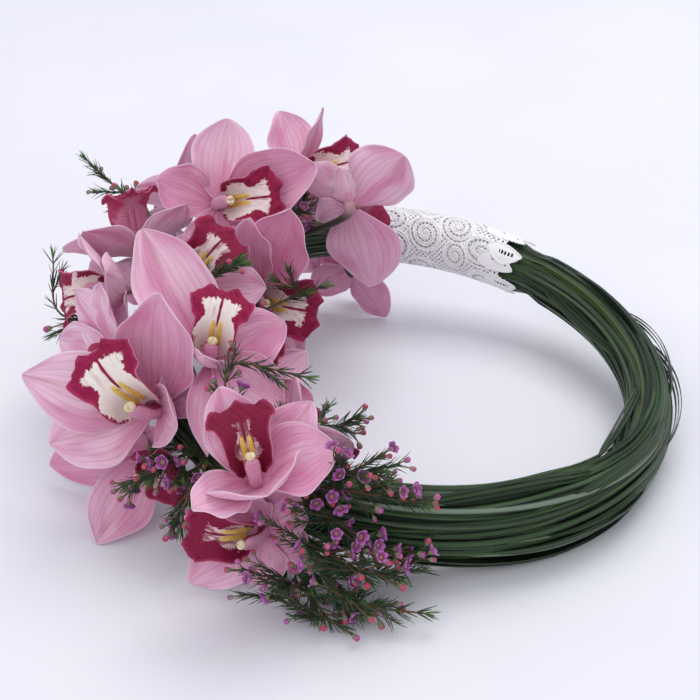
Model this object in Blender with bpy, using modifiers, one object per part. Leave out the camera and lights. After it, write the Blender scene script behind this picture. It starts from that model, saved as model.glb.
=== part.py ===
"""Wreath-shaped bridal bouquet: a hoop of bound grass with a lace handle and orchids.

Metres, +Z up. The bouquet lies on a table at z = 0 with its handle at the back right.
The design works in millimetres and is brought to metres when a mesh is made.
"""
import math
import random

import bmesh
import bpy
import numpy as np
from mathutils.bvhtree import BVHTree

MM = 0.001

# The design's point (0, 0) is the middle of the hoop; this shift centres the whole bouquet
SHIFT_X = 28.0
SHIFT_Y = 9.5

# Hoop: half length, half depth, height of its middle, and how it tilts along X and Y
HOOP_A = 135.0
HOOP_B = 128.0
HOOP_RISE = 43.8
TILT_X = -0.132
TILT_Y = 0.102
STATIONS = 48
RIDGES = 10
RIDGE_DEPTH = 0.055
RIDGE_TURNS = 2
# What would stand lower than this is pressed flat on the table
PRESSED = 1.3

# Handle: where the lace starts and ends round the hoop, in degrees, and its layers
LACE_START = 60
LACE_END = 97.5
RIBBON_INNER = 14.6
RIBBON_OUTER = 15.5
LACE_INNER = 16.5
LACE_OUTER = 17.6
BAND_START = 101
BAND_END = 105

# Orchids
TEPAL_THICK = 0.9
LIP_THICK = 1.0
GAP = 0.35
TEST_MARGIN = 0.35

# Turn of each tepal from the top one, seen from the front
TEPAL_TURN = {"top": 0, "left": 68, "right": -68, "low_left": 130, "low_right": -130}

# A tepal: extra turn, length, width, lift, bow along it, cup across it, twist
PLAIN = {
    "top": (0, 48, 32, 16, 15, 0.16, 0),
    "left": (0, 48, 32, 22, 10, 0.3, 0),
    "right": (0, 48, 32, 22, 10, 0.3, 0),
    "low_left": (0, 48, 32, 8, 5, 0.16, 0),
    "low_right": (0, 48, 32, 8, 5, 0.16, 0),
}

# The three sepals stand behind the two petals
FOOT = {"top": -2.5, "left": 0.0, "right": 0.0, "low_left": -2.5, "low_right": -2.5}

# Each orchid: middle of its face, where it looks (compass, height), its spin, its size,
# the tepals that differ from the plain ones, and whether it is seen from close by
ORCHIDS = [
    ("front_left", (-133, -76, 64), -104, 26, -139, 1.08, True, {
        "low_right": (-12, 62, 40, 5, -5), "right": (-38, 52, 38, 15, -20),
        "top": (50, 38, 30, 55, 10, 0.5), "left": (17, 26, 24, 5, 0),
        "low_left": (0, 68, 40, 12, 30, 0.45)}),
    ("front_right", (-77, -148, 72), -92, 58, -163, 0.86, True, {
        "low_left": (0, 52, 36, 10, 5), "low_right": (-42, 54, 36, 25, 5),
        "left": (30, 46, 44, 15, -10), "right": (0, 44, 30, 45, 0),
        "top": (10, 36, 54, 55, 10, 0.5)}),
    ("back_top", (-108, 62, 112), -78, 30, 90, 0.92, True, {
        "right": (-34, 50, 40, 0, 8), "low_right": (-34, 66, 42, 20, 15, 0.4),
        "top": (-25, 42, 34, 25, 0), "left": (0, 44, 30, 15, 0), "low_left": (12, 50, 30, 0, 0)}),
    ("middle", (-103, -71, 92), -84, 44, 163, 0.86, True, {
        "low_right": (-8, 84, 46, 4, 14, 0.4), "low_left": (0, 46, 38, 5, 0),
        "right": (32, 50, 32, 62, 20, 0.5), "left": (0, 50, 36, 10, 0),
        "top": (4, 60, 26, 30, -30, 0.3, 60)}),
    ("back_right", (-62, 112, 104), -52, 38, 82, 0.86, True, {
        "right": (-17, 46, 38, 0, 10), "low_right": (24, 53, 17, 40, 10, 0.3, 50),
        "low_left": (-5, 46, 36, 14, 20, 0.35), "top": (0, 36, 30, 20, 10),
        "left": (0, 32, 30, 0, -10)}),
    ("handle_side", (-32, 71, 107), 75, 6, 0, 0.88, True, {
        "left": (-26, 50, 46, 5, 0), "right": (4, 38, 31, 15, 0), "low_left": (38, 64, 52, 5, 0),
        "top": (-20, 24, 24, 20, 0), "low_right": (4, 26, 26, 10, 0)}),
    ("centre", (-121, -7, 96), -78, 50, 128, 0.92, True, {
        "low_right": (0, 30, 30, 20, 0), "low_left": (0, 46, 34, 20, 0),
        "left": (0, 36, 30, 20, 0), "right": (0, 30, 30, 20, 0), "top": (0, 30, 30, 20, 0)}),
    ("inner_middle", (-85, 15, 76), -84, 26, 78, 0.92, True, {
        "low_left": (0, 46, 34, 0, 0), "low_right": (30, 62, 42, 12, 25, 0.45),
        "right": (-5, 56, 24, 40, 10, 0.5), "top": (0, 40, 30, 30, 0),
        "left": (0, 44, 32, 15, 0)}),
    ("front_low", (-75, -141, 37), -104, 15, -105, 0.88, True, {
        "low_right": (8, 54, 34, 3, 0), "low_left": (0, 40, 30, 10, 0),
        "top": (0, 30, 30, 20, 0), "left": (0, 36, 32, 10, 0), "right": (0, 30, 30, 10, 0)}),
    ("left_high", (-153, 45, 90), 115, 35, 180, 0.88, False, {"top": (0, 40, 30, 20, 0)}),
    ("left_side", (-160, 19, 81), 208, 15, -50, 0.9, False, {
        "top": (0, 44, 34, 30, 20, 0.4), "left": (0, 46, 34, 10, 0),
        "right": (0, 50, 38, 10, 10), "low_left": (0, 44, 32, 10, 0),
        "low_right": (0, 44, 32, 8, 0)}),
    ("left_low", (-137, -73, 33), -112, 0, 109, 0.9, False, {
        "right": (0, 40, 34, 5, 0), "top": (0, 70, 36, 5, 0), "left": (-18, 58, 38, 5, 0),
        "low_left": (0, 36, 30, 20, 0), "low_right": (0, 36, 30, 20, 0)}),
    ("under_middle", (-82, -52, 58), -75, 50, 170, 0.7, False, {}),
    ("inner_front", (-64, -96, 50), 25, 35, 30, 0.9, False, {
        "top": (0, 44, 28, 60, 0, 0.4), "left": (0, 44, 28, 55, 0, 0.4),
        "right": (0, 44, 28, 55, 0, 0.4), "low_left": (0, 40, 28, 40, 0),
        "low_right": (0, 40, 28, 40, 0)}),
    ("outer_high", (-127, 118, 84), 110, 20, 0, 0.95, False, {
        "top": (0, 50, 26, 15, 0, 0.3, 40), "right": (0, 38, 30, 12, 0)}),
    ("under_handle", (-30, 126, 36), 80, 0, 0, 0.75, False, {
        "low_left": (20, 51, 32, 0, 3), "top": (0, 24, 24, 60, 10), "left": (20, 26, 28, 10, 0)}),
    ("outer_left", (-158, -30, 68), 212, 20, 70, 0.9, False, {
        "top": (0, 52, 34, 10, 5), "left": (-30, 62, 30, 5, 0)}),
    ("outer_back", (-90, 134, 58), 95, 0, 0, 0.98, False, {}),
    ("outer_low", (-136, 98, 38.5), 140, -5, 0, 0.95, False, {}),
]

# How a tepal gives way to what is already there: changes of lift, turn, bow and length,
# the smallest first
GIVE_LIFT = (0, 6, -6, 12, -12, 20, -20, 28, 36, 45, 55, 65, 75)
GIVE_TURN = (0, 8, -8, 16, -16, 24, -24)
GIVE_BOW = (0, 25, -25)
GIVE_SHARE = (1, 0.9, 0.8, 0.7, 0.6, 0.5)
GIVE = sorted(
    ((lift, swing, bow, share) for lift in GIVE_LIFT for swing in GIVE_TURN
     for bow in GIVE_BOW for share in GIVE_SHARE),
    key=lambda g: abs(g[0]) / 10 + abs(g[1]) / 8 + abs(g[2]) / 20 + (1 - g[3]) * 14)


def hoop_height(x, y):
    return HOOP_RISE + TILT_X * x + TILT_Y * y


def hoop_point(degrees):
    t = math.radians(degrees)
    x = HOOP_A * math.cos(t)
    y = HOOP_B * math.sin(t)
    return np.array([x, y, hoop_height(x, y)])


def hoop_outward(degrees):
    t = math.radians(degrees)
    v = np.array([math.cos(t) / HOOP_A, math.sin(t) / HOOP_B, 0.0])
    return v / np.linalg.norm(v)


def grass_half(degrees):
    """Half width and half height of the grass bundle at an angle round the hoop."""
    at = [0, 50, 60, 105, 150, 200, 230, 265, 300, 318, 335, 360]
    wide = [12.5, 13.0, 13.4, 13.4, 13.0, 13.0, 13.0, 13.5, 13.5, 13.5, 13.0, 12.5]
    tall = [15.0, 14.0, 13.4, 13.4, 14.0, 14.0, 16.0, 20.5, 24.5, 23.5, 19.0, 15.0]
    d = degrees % 360
    return np.interp(d, at, wide), np.interp(d, at, tall)


def under_lace(degrees):
    return LACE_START - 8 < degrees < BAND_END + 2


def hoop_ring(degrees, around, grow=0.0, ridged=True):
    """One closed section of the grass bundle, or of a layer that lies on it."""
    c = hoop_point(degrees)
    out = hoop_outward(degrees)
    wide, tall = grass_half(degrees)
    rows = []
    for k in range(around):
        f = math.tau * k / around
        ridge = 1.0
        if ridged:
            f += math.radians(degrees) * RIDGE_TURNS / RIDGES
            f += 0.05 * math.sin(math.radians(3 * degrees) + k)
            depth = RIDGE_DEPTH * (0.4 if under_lace(degrees) else 1.0)
            ridge = 1 + depth * (1 if k % 2 else -1) * (1 + 0.4 * math.sin(k * 2.3))
        a = wide * ridge + grow
        b = tall * ridge + grow
        p = c + out * a * math.cos(f) + np.array([0, 0, 1.0]) * b * math.sin(f)
        rows.append(p)
    return rows


def facing(compass, height, spin):
    """Rows are the face's own x, y and forward axis."""
    a = math.radians(compass)
    e = math.radians(height)
    s = math.radians(spin)
    n = np.array([math.cos(a) * math.cos(e), math.sin(a) * math.cos(e), math.sin(e)])
    up = np.array([0, 0, 1.0])
    up = up - n * (up @ n)
    up /= np.linalg.norm(up)
    y = math.cos(s) * up - math.sin(s) * np.cross(up, n)
    x = np.cross(y, n)
    return np.stack([x, y, n])


def tepal_width(s):
    rise = 0.2 + 0.8 * math.sin(math.pi / 2 * min(s / 0.5, 1))
    fall = max(1 - max((s - 0.5) / 0.5, 0) ** 2.2, 0) ** 0.62
    return rise if s < 0.5 else fall


def tepal_grid(turn, length, wide, lift, bow, cup, twist, foot, rows, across):
    """Middle surface of one tepal in the orchid's own frame, the tip row drawn to a point."""
    a = math.radians(90 + turn)
    radial = np.array([math.cos(a), math.sin(a), 0.0])
    ahead = np.array([0, 0, 1.0])
    side = np.cross(ahead, radial)
    fine = np.linspace(0, 1, 61)
    angle = np.radians(lift + bow * fine)
    run = np.concatenate([[0], np.cumsum((np.cos(angle[1:]) + np.cos(angle[:-1])) / 2)]) / 60 * length
    climb = np.concatenate([[0], np.cumsum((np.sin(angle[1:]) + np.sin(angle[:-1])) / 2)]) / 60 * length
    grid = []
    for s in rows:
        lean = math.radians(lift + bow * s)
        spine = radial * (np.interp(s, fine, run) + 3.0) + ahead * (np.interp(s, fine, climb) + foot)
        normal = -radial * math.sin(lean) + ahead * math.cos(lean)
        tw = math.radians(twist) * s
        sd = side * math.cos(tw) + normal * math.sin(tw)
        nn = normal * math.cos(tw) - side * math.sin(tw)
        half = wide / 2 * tepal_width(s)
        bend = 2 * math.atan(cup)
        radius = half / math.sin(bend)
        row = []
        for t in np.linspace(-1, 1, across):
            row.append(spine + sd * radius * math.sin(bend * t) + nn * radius * (1 - math.cos(bend * t)))
        grid.append(row)
    return np.array(grid)


LIP_AT = [0, 0.12, 0.3, 0.45, 0.56, 0.66, 0.8, 0.92, 1.0]
LIP_HALF = [7, 13, 18.5, 19, 17, 18.5, 20.5, 17, 8]
CUP_AT = [0, 0.15, 0.35, 0.5, 0.62, 0.8, 1]
CUP_BY = [0.55, 0.8, 0.9, 0.65, 0.25, 0.02, -0.1]


def lip_grid(rows, across):
    """Middle surface of the lip: a trough under the column that opens into a broad lobe."""
    fine = np.linspace(0, 1, 61)
    angle = np.radians(66 - 30 * fine - 72 * np.clip((fine - 0.4) / 0.6, 0, 1) ** 1.2)
    down = np.concatenate([[0], np.cumsum((np.cos(angle[1:]) + np.cos(angle[:-1])) / 2)]) / 60 * 44
    out = np.concatenate([[0], np.cumsum((np.sin(angle[1:]) + np.sin(angle[:-1])) / 2)]) / 60 * 44
    grid = []
    for u in rows:
        lean = np.interp(u, fine, angle)
        normal = np.array([0, math.sin(lean), math.cos(lean)])
        half = np.interp(u, LIP_AT, LIP_HALF)
        bend = 2 * math.atan(np.interp(u, CUP_AT, CUP_BY))
        if abs(bend) < 0.02:
            bend = 0.02
        radius = half / bend
        row = []
        for t in np.linspace(-1, 1, across):
            p = np.array([radius * math.sin(bend * t), -5.2 - np.interp(u, fine, down),
                          3.5 + np.interp(u, fine, out)])
            row.append(p + normal * radius * (1 - math.cos(bend * t)))
        grid.append(row)
    return np.array(grid)


def grid_faces(rows, across, pointed):
    """Triangles of a grid; with a pointed tip the last row is its middle vertex alone."""
    faces = []
    last = rows - 1 if pointed else rows
    for i in range(last - 1):
        for j in range(across - 1):
            a = i * across + j
            b = a + across
            if (j < (across - 1) / 2) != (i % 2 == 0):
                faces += [(a, a + 1, b + 1), (a, b + 1, b)]
            else:
                faces += [(a, a + 1, b), (a + 1, b + 1, b)]
    if pointed:
        tip = last * across
        base = (last - 1) * across
        for j in range(across - 1):
            faces.append((base + j, base + j + 1, tip))
    return faces


def sheet(grid, pointed):
    """Vertices and triangles of a middle surface."""
    rows, across = grid.shape[:2]
    if pointed:
        verts = np.concatenate([grid[:-1].reshape(-1, 3), [grid[-1][across // 2]]])
    else:
        verts = grid.reshape(-1, 3)
    return verts, grid_faces(rows, across, pointed)


def slab(verts, faces, half):
    """The closed shape that a sheet becomes with a thickness, for the clearance test."""
    normal = np.zeros_like(verts)
    for f in faces:
        n = np.cross(verts[f[1]] - verts[f[0]], verts[f[2]] - verts[f[0]])
        for k in f:
            normal[k] += n
    normal /= np.maximum(np.linalg.norm(normal, axis=1, keepdims=True), 1e-9)
    count = len(verts)
    both = np.concatenate([verts + normal * half, verts - normal * half])
    out = [tuple(f) for f in faces] + [(f[0] + count, f[2] + count, f[1] + count) for f in faces]
    edges = {}
    for f in faces:
        for a, b in ((f[0], f[1]), (f[1], f[2]), (f[2], f[0])):
            edges[(a, b)] = edges.get((a, b), 0) + 1
    for a, b in edges:
        if (b, a) not in edges:
            out += [(b, a, a + count), (b, a + count, b + count)]
    return both, out


def tube(points, radii, sides, side=None):
    """Vertices and faces of a closed tube through points."""
    points = np.array(points, float)
    verts = []
    faces = []
    for k, (p, r) in enumerate(zip(points, radii)):
        d = points[min(k + 1, len(points) - 1)] - points[max(k - 1, 0)]
        d = d / np.linalg.norm(d)
        if side is None:
            side = np.array([1.0, 0, 0]) if abs(d[0]) < 0.9 else np.array([0, 1.0, 0])
        side = side - d * (side @ d)
        side = side / np.linalg.norm(side)
        other = np.cross(d, side)
        for j in range(sides):
            f = 2 * math.pi * j / sides
            verts.append(p + r * (math.cos(f) * side + math.sin(f) * other))
    for k in range(len(points) - 1):
        for j in range(sides):
            a = k * sides + j
            b = k * sides + (j + 1) % sides
            faces += [(a, b, b + sides), (a, b + sides, a + sides)]
    for j in range(1, sides - 1):
        faces.append((0, j + 1, j))
        top = (len(points) - 1) * sides
        faces.append((top, top + j, top + j + 1))
    return np.array(verts), faces


class Placed:
    """Everything that is already in its place, for the clearance test."""

    def __init__(self):
        self.shapes = []

    def add(self, owner, verts, faces):
        tree = BVHTree.FromPolygons([tuple(v) for v in verts], faces)
        self.shapes.append((owner, tree, verts.min(0), verts.max(0)))

    def hits(self, verts, faces, skip=()):
        low = verts.min(0)
        high = verts.max(0)
        tree = None
        for owner, other, a, b in self.shapes:
            if owner in skip or (low > b).any() or (high < a).any():
                continue
            if tree is None:
                tree = BVHTree.FromPolygons([tuple(v) for v in verts], faces)
            if tree.overlap(other):
                return owner
        return None


def clear_scene():
    for thing in list(bpy.data.objects):
        bpy.data.objects.remove(thing)
    for kind in (bpy.data.meshes, bpy.data.materials, bpy.data.collections):
        for item in list(kind):
            kind.remove(item)


def new_collection(name):
    made = bpy.data.collections.new(name)
    bpy.context.scene.collection.children.link(made)
    return made


def give_material(thing, colour, roughness):
    """Each node has a material of its own."""
    made = bpy.data.materials.new(thing.name + "_material")
    made.use_nodes = True
    shader = made.node_tree.nodes["Principled BSDF"]
    shader.inputs["Base Color"].default_value = (*colour, 1)
    shader.inputs["Roughness"].default_value = roughness
    thing.data.materials.append(made)


def mesh_object(name, verts, faces, where):
    mesh = bpy.data.meshes.new(name)
    shift = np.array([SHIFT_X, SHIFT_Y, 0.0])
    mesh.from_pydata([tuple((v + shift) * MM) for v in verts], [], [tuple(int(i) for i in f) for f in faces])
    mesh.update()
    made = bpy.data.objects.new(name, mesh)
    where.objects.link(made)
    return made


def thicken(thing, thickness):
    skin = thing.modifiers.new("thickness", "SOLIDIFY")
    skin.thickness = thickness * MM
    skin.offset = 0
    return skin


def apply_all(thing):
    graph = bpy.context.evaluated_depsgraph_get()
    mesh = bpy.data.meshes.new_from_object(thing.evaluated_get(graph))
    old = thing.data
    thing.modifiers.clear()
    thing.data = mesh
    bpy.data.meshes.remove(old)


def join_all(body, others, cutter=None):
    """One Boolean union of a body with a collection, then the cut, applied."""
    if others.objects:
        union = body.modifiers.new("join", "BOOLEAN")
        union.operation = "UNION"
        union.operand_type = "COLLECTION"
        union.collection = others
        union.solver = "MANIFOLD"
    if cutter is not None:
        cut = body.modifiers.new("seat", "BOOLEAN")
        cut.operation = "DIFFERENCE"
        cut.object = cutter
        cut.solver = "MANIFOLD"
    apply_all(body)
    for thing in list(others.objects):
        bpy.data.objects.remove(thing)
    keep_largest(body)


def keep_largest(thing):
    """Drops the slivers that a cut leaves loose, and turns the faces outward."""
    made = bmesh.new()
    made.from_mesh(thing.data)
    seen = set()
    groups = []
    for start in made.verts:
        if start.index in seen:
            continue
        stack = [start]
        seen.add(start.index)
        group = []
        while stack:
            v = stack.pop()
            group.append(v)
            for e in v.link_edges:
                w = e.other_vert(v)
                if w.index not in seen:
                    seen.add(w.index)
                    stack.append(w)
        groups.append(group)
    groups.sort(key=len)
    for group in groups[:-1]:
        bmesh.ops.delete(made, geom=group, context="VERTS")
    flatter = made.copy()
    bmesh.ops.dissolve_limit(flatter, angle_limit=math.radians(1.0), verts=flatter.verts,
                             edges=flatter.edges)
    bmesh.ops.triangulate(flatter, faces=flatter.faces)
    best = flatter if all(len(e.link_faces) == 2 for e in flatter.edges) else made
    bmesh.ops.recalc_face_normals(best, faces=best.faces)
    best.to_mesh(thing.data)
    flatter.free()
    made.free()


clear_scene()
bouquet = new_collection("bridal_bouquet")
guides = new_collection("cutters")

PINK = (0.78, 0.42, 0.56)
CRIMSON = (0.33, 0.01, 0.07)
GRASS_GREEN = (0.05, 0.11, 0.05)
LACE_WHITE = (0.86, 0.85, 0.84)
RIBBON_WHITE = (0.88, 0.87, 0.86)
BAND_BROWN = (0.20, 0.15, 0.10)
SPRAY_GREEN = (0.08, 0.14, 0.06)

placed = Placed()

# Grass hoop: a closed ring of ridged sections, flattened where it stands on the table
AROUND = RIDGES * 2


def ring_loft(grow):
    verts = []
    faces = []
    for i in range(STATIONS):
        for p in hoop_ring(i * 360 / STATIONS, AROUND, grow):
            verts.append([p[0], p[1], p[2] if p[2] > PRESSED - grow else -grow])
    # the pattern has turned by a whole number of ridges after one round
    for i in range(STATIONS):
        shift = 0 if i < STATIONS - 1 else RIDGE_TURNS * AROUND // RIDGES
        for k in range(AROUND):
            a = i * AROUND + k
            b = i * AROUND + (k + 1) % AROUND
            j = (i + 1) % STATIONS
            c = j * AROUND + (k + 1 + shift) % AROUND
            d = j * AROUND + (k + shift) % AROUND
            faces += [(a, d, c), (a, c, b)]
    return np.array(verts, float), faces


ring_verts, ring_faces = ring_loft(0.0)
grass = mesh_object("grass_hoop", ring_verts, ring_faces, bouquet)
give_material(grass, GRASS_GREEN, 0.45)

# Loose blades that leave the bundle and come back to it: start, end, height round the
# section, and how far they stand off
BLADES = [
    (352, 388, 20, 4.5), (-22, 24, -12, 5.0), (300, 345, 35, 3.5), (268, 312, 60, 3.5),
    (282, 330, -25, 4.0), (8, 44, 70, 3.5), (318, 356, 115, 3.5), (10, 50, 160, 3.5),
]
BLADE_WIDE = 2.8
BLADE_THICK = 0.8


def blade_path(start, end, around_section, off, steps=6):
    points = []
    for k in range(steps):
        s = k / (steps - 1)
        d = start + (end - start) * s
        wide, tall = grass_half(d)
        f = math.radians(around_section + 14 * math.sin(3 * s))
        stand = -2.2 + (off + 2.2) * math.sin(math.pi * s) ** 0.7
        p = hoop_point(d) + hoop_outward(d) * (wide + stand) * math.cos(f)
        p = p + np.array([0, 0, 1.0]) * (tall + stand) * math.sin(f)
        across = -hoop_outward(d) * math.sin(f) + np.array([0, 0, 1.0]) * math.cos(f)
        points.append((p, across))
    return points


def blade_mesh(path, wide, thick):
    """A flat grass blade through points, each with the direction across it."""
    verts = []
    faces = []
    for k, (p, across) in enumerate(path):
        ahead = path[min(k + 1, len(path) - 1)][0] - path[max(k - 1, 0)][0]
        ahead = ahead / np.linalg.norm(ahead)
        across = across - ahead * (across @ ahead)
        across = across / np.linalg.norm(across)
        up = np.cross(ahead, across)
        for a, b in ((-1, -1), (1, -1), (1, 1), (-1, 1)):
            verts.append(p + across * a * wide / 2 + up * b * thick / 2)
    for k in range(len(path) - 1):
        for j in range(4):
            a = 4 * k + j
            b = 4 * k + (j + 1) % 4
            faces += [(a, b, b + 4), (a, b + 4, a + 4)]
    e = 4 * (len(path) - 1)
    faces += [(0, 2, 1), (0, 3, 2), (e, e + 1, e + 2), (e, e + 2, e + 3)]
    return np.array(verts), faces


def add_blade(name, path):
    mesh_object(name, *blade_mesh(path, BLADE_WIDE, BLADE_THICK), loose)
    placed.add("loose_blades", *blade_mesh(path, BLADE_WIDE + 1, BLADE_THICK + 1))


loose = new_collection("loose_blades")
for number, (start, end, section, off) in enumerate(BLADES):
    add_blade(f"blade_{number}", blade_path(start, end, section, off))

# Cut ends of the bundle that fan out beside the binding
CUT_ENDS = [(111, 40, 17, 6), (113, 75, 19, 4), (115, 105, 15, -3), (112, 140, 18, -7), (116, 10, 14, 9)]
for number, (at, section, long, rise) in enumerate(CUT_ENDS):
    f = math.radians(section)
    wide, tall = grass_half(at)
    out = hoop_outward(at)
    foot = hoop_point(at) + out * (wide - 1) * math.cos(f) + np.array([0, 0, 1.0]) * (tall - 1) * math.sin(f)
    along = hoop_point(at + 6) - hoop_point(at)
    along = along / np.linalg.norm(along)
    lift = out * math.cos(f) + np.array([0, 0, 1.0]) * math.sin(f)
    across = np.cross(along, lift)
    path = []
    for s in (-0.25, 0.15, 0.6, 1.0):
        path.append((foot + along * long * s + lift * (4.5 * max(s, 0) ** 1.5 - (1.5 if s < 0 else 0))
                     + across * rise * 0.3 * max(s, 0), across))
    add_blade(f"cut_end_{number}", path)
join_all(grass, loose)
placed.add("grass_hoop", *ring_loft(GAP + 0.1))

seat_verts, seat_faces = ring_loft(GAP)
seat = mesh_object("grass_seat", seat_verts, seat_faces, guides)
seat.hide_render = True
seat.display_type = "WIRE"


# Layers on the handle: closed sleeves with an inner and an outer wall
def sleeve(name, stations, inner, outer, around, scallop, colour):
    verts = []
    faces = []
    for i, at in enumerate(stations):
        for radius in (outer, inner):
            for k in range(around):
                d = at
                if i == 0 and k % 2:
                    d = at - scallop
                c = hoop_point(d)
                f = math.tau * k / around
                flare = 1.0 if i else 1.02
                verts.append(c + radius * flare * (hoop_outward(d) * math.cos(f)
                                                   + np.array([0, 0, 1.0]) * math.sin(f)))
    loop = 2 * around
    for i in range(len(stations) - 1):
        for k in range(around):
            n = (k + 1) % around
            a, b = i * loop + k, i * loop + n
            c, d = b + loop, a + loop
            faces += [(a, d, c), (a, c, b)]
            a, b, c, d = a + around, b + around, c + around, d + around
            faces += [(a, c, d), (a, b, c)]
    last = (len(stations) - 1) * loop
    for k in range(around):
        n = (k + 1) % around
        faces += [(k, n, n + around), (k, n + around, k + around)]
        faces += [(last + k, last + n + around, last + n), (last + k, last + k + around, last + n + around)]
    made = mesh_object(name, np.array(verts), faces, bouquet)
    give_material(made, colour, 0.7)
    placed.add(name, np.array(verts), faces)
    return made


sleeve("ribbon_wrap", [LACE_START + 2, 67.5, 75, 82.5, 90, LACE_END], RIBBON_INNER, RIBBON_OUTER, 12, 0,
       RIBBON_WHITE)
sleeve("lace_wrap", [LACE_START, 63, 67.5, 75, 82.5, 90, LACE_END], LACE_INNER, LACE_OUTER, 20, 5, LACE_WHITE)
sleeve("binding_band", [BAND_START, BAND_END], RIBBON_INNER, RIBBON_OUTER, 16, 0, BAND_BROWN)


# Orchids: first every column, stalk and lip, then the tepals, which give way
def column_tube(base, axes, size, foot):
    """Stalk from the hoop to the back of the face, then the column ahead of it."""
    n = axes[2]
    back = base - n * 15 * size
    away = back - foot
    start = foot + away / np.linalg.norm(away) * 7
    points = [start, (start + back) / 2 - n * 3, back, base - n * 2.5 * size]
    radii = [2.0, 2.0, 3.0 * size, 4.6 * size]
    for p, r in (((0, 0.4, 9), 4.2), ((0, -4.2, 24), 4.0)):
        points.append(base + np.array(p) * size @ axes)
        radii.append(r * size)
    return tube(points, radii, 5, axes[0])


ROWS_NEAR = [0, 0.27, 0.7, 1]
ROWS_FAR = [0, 0.3, 0.68, 1]
orchids = []
for name, base, compass, height, spin, size, near, changed in ORCHIDS:
    base = np.array(base, float)
    axes = facing(compass, height, spin)
    # the stalk grows from the nearest part of the hoop that leaves it a clear way
    feet = sorted(range(108, 262, 2), key=lambda d: np.linalg.norm(hoop_point(d) - (base - axes[2] * 14)))
    for foot in feet:
        column = column_tube(base, axes, size, hoop_point(foot))
        if not placed.hits(*column, skip=("grass_hoop",)):
            break
    lip_rows = [0, 0.25, 0.5, 0.76, 1] if near else [0, 0.3, 0.62, 1]
    lip_across = 5
    verts, faces = sheet(lip_grid(lip_rows, lip_across), False)
    verts = verts * size @ axes + base
    orchids.append({"name": name, "base": base, "axes": axes, "size": size, "near": near,
                    "changed": changed, "column": column, "lip": (verts, faces), "tepals": []})

for o in orchids:
    placed.add("lip_" + o["name"], *slab(*o["lip"], LIP_THICK / 2 + TEST_MARGIN))
    placed.add("orchid_" + o["name"], *o["column"])

for o in orchids:
    own = "orchid_" + o["name"]
    for label, turn in TEPAL_TURN.items():
        spec = list(PLAIN[label])
        given = o["changed"].get(label, ())
        spec[:len(given)] = given
        rows = ROWS_NEAR if o["near"] else ROWS_FAR
        across = 5 if o["near"] else 3
        kept = None
        for lift, swing, bow, share in GIVE:
            grid = tepal_grid(turn + spec[0] + swing, spec[1] * share, spec[2] * (0.3 + 0.7 * share),
                              spec[3] + lift, spec[4] + bow, spec[5], spec[6], FOOT[label], rows, across)
            grid = grid * o["size"] @ o["axes"] + o["base"]
            if grid[..., 2].min() < 0.55 or (lift and spec[3] + lift > 95):
                continue
            verts, faces = sheet(grid, True)
            test = slab(verts, faces, TEPAL_THICK / 2 + TEST_MARGIN)
            if not placed.hits(*test, skip=(own,)):
                kept = (label, verts, faces)
                break
        # a tepal that finds no clear place at all is left out
        if kept is not None:
            o["tepals"].append(kept)
            placed.add(own, *test)

# Each orchid becomes two bodies: the pink one with its column and stalk, and the lip
work = new_collection("being_joined")
for o in orchids:
    own = "orchid_" + o["name"]
    body = mesh_object(own, *o["column"], bouquet)
    give_material(body, PINK, 0.5)
    for label, verts, faces in o["tepals"]:
        leaf = mesh_object(f"{own}_{label}", verts, faces, work)
        thicken(leaf, TEPAL_THICK)
        apply_all(leaf)
    join_all(body, work, seat)
    lip = mesh_object("lip_" + o["name"], *o["lip"], bouquet)
    give_material(lip, CRIMSON, 0.6)
    thicken(lip, LIP_THICK)
    apply_all(lip)

# Waxflower sprays: points of the stem, its nodes with needle pairs, and its buds and cups
SPRAYS = [
    ("front_a", [(-66, -118, 50), (-45, -136, 60), (-20, -143, 60), (2, -144, 55)], 8, 5, 3),
    ("front_b", [(-66, -124, 44), (-45, -144, 48), (-22, -149, 36), (-3, -141, 24)], 8, 4, 4),
    ("front_c", [(-68, -124, 40), (-44, -153, 38), (-20, -158, 24), (4, -145, 13)], 8, 6, 2),
    ("front_d", [(-70, -126, 36), (-50, -160, 30), (-28, -167, 16), (-5, -162, 7)], 8, 7, 1),
    ("front_e", [(-72, -128, 30), (-60, -160, 20), (-42, -168, 11), (-23, -160, 7)], 8, 6, 2),
    ("front_f", [(-62, -120, 52), (-50, -138, 68), (-34, -142, 72), (-14, -136, 70)], 7, 4, 2),
    ("low_a", [(-100, -84, 50), (-107, -104, 52), (-113, -118, 42), (-117, -124, 26)], 7, 3, 3),
    ("low_b", [(-104, -80, 50), (-118, -96, 54), (-131, -104, 46), (-141, -104, 36)], 6, 2, 3),
    ("over_front", [(-98, -84, 56), (-103, -104, 86), (-86, -105, 101), (-60, -92, 107)], 9, 3, 1),
    ("left_high", [(-118, 66, 66), (-150, 92, 78), (-170, 122, 88), (-190, 142, 94)], 6, 6, 0),
    ("left_side", [(-134, -6, 62), (-168, 12, 60), (-192, 20, 72), (-213, 36, 79)], 6, 3, 0),
    ("centre", [(-126, -24, 62), (-118, -30, 98), (-110, -30, 112), (-96, -20, 118)], 7, 3, 1),
    ("inner", [(-118, 6, 66), (-92, 2, 80), (-72, 2, 96), (-60, 6, 105)], 7, 2, 0),
    ("right", [(-84, -96, 50), (-62, -96, 66), (-46, -95, 68), (-35, -92, 65)], 6, 5, 0),
    ("back", [(-64, 116, 66), (-74, 92, 86), (-66, 90, 94), (-54, 92, 96)], 5, 1, 4),
]
STEM_RADIUS = 0.9
NEEDLE = 11.0
BUD = 2.5
CUP = 4.9


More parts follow.
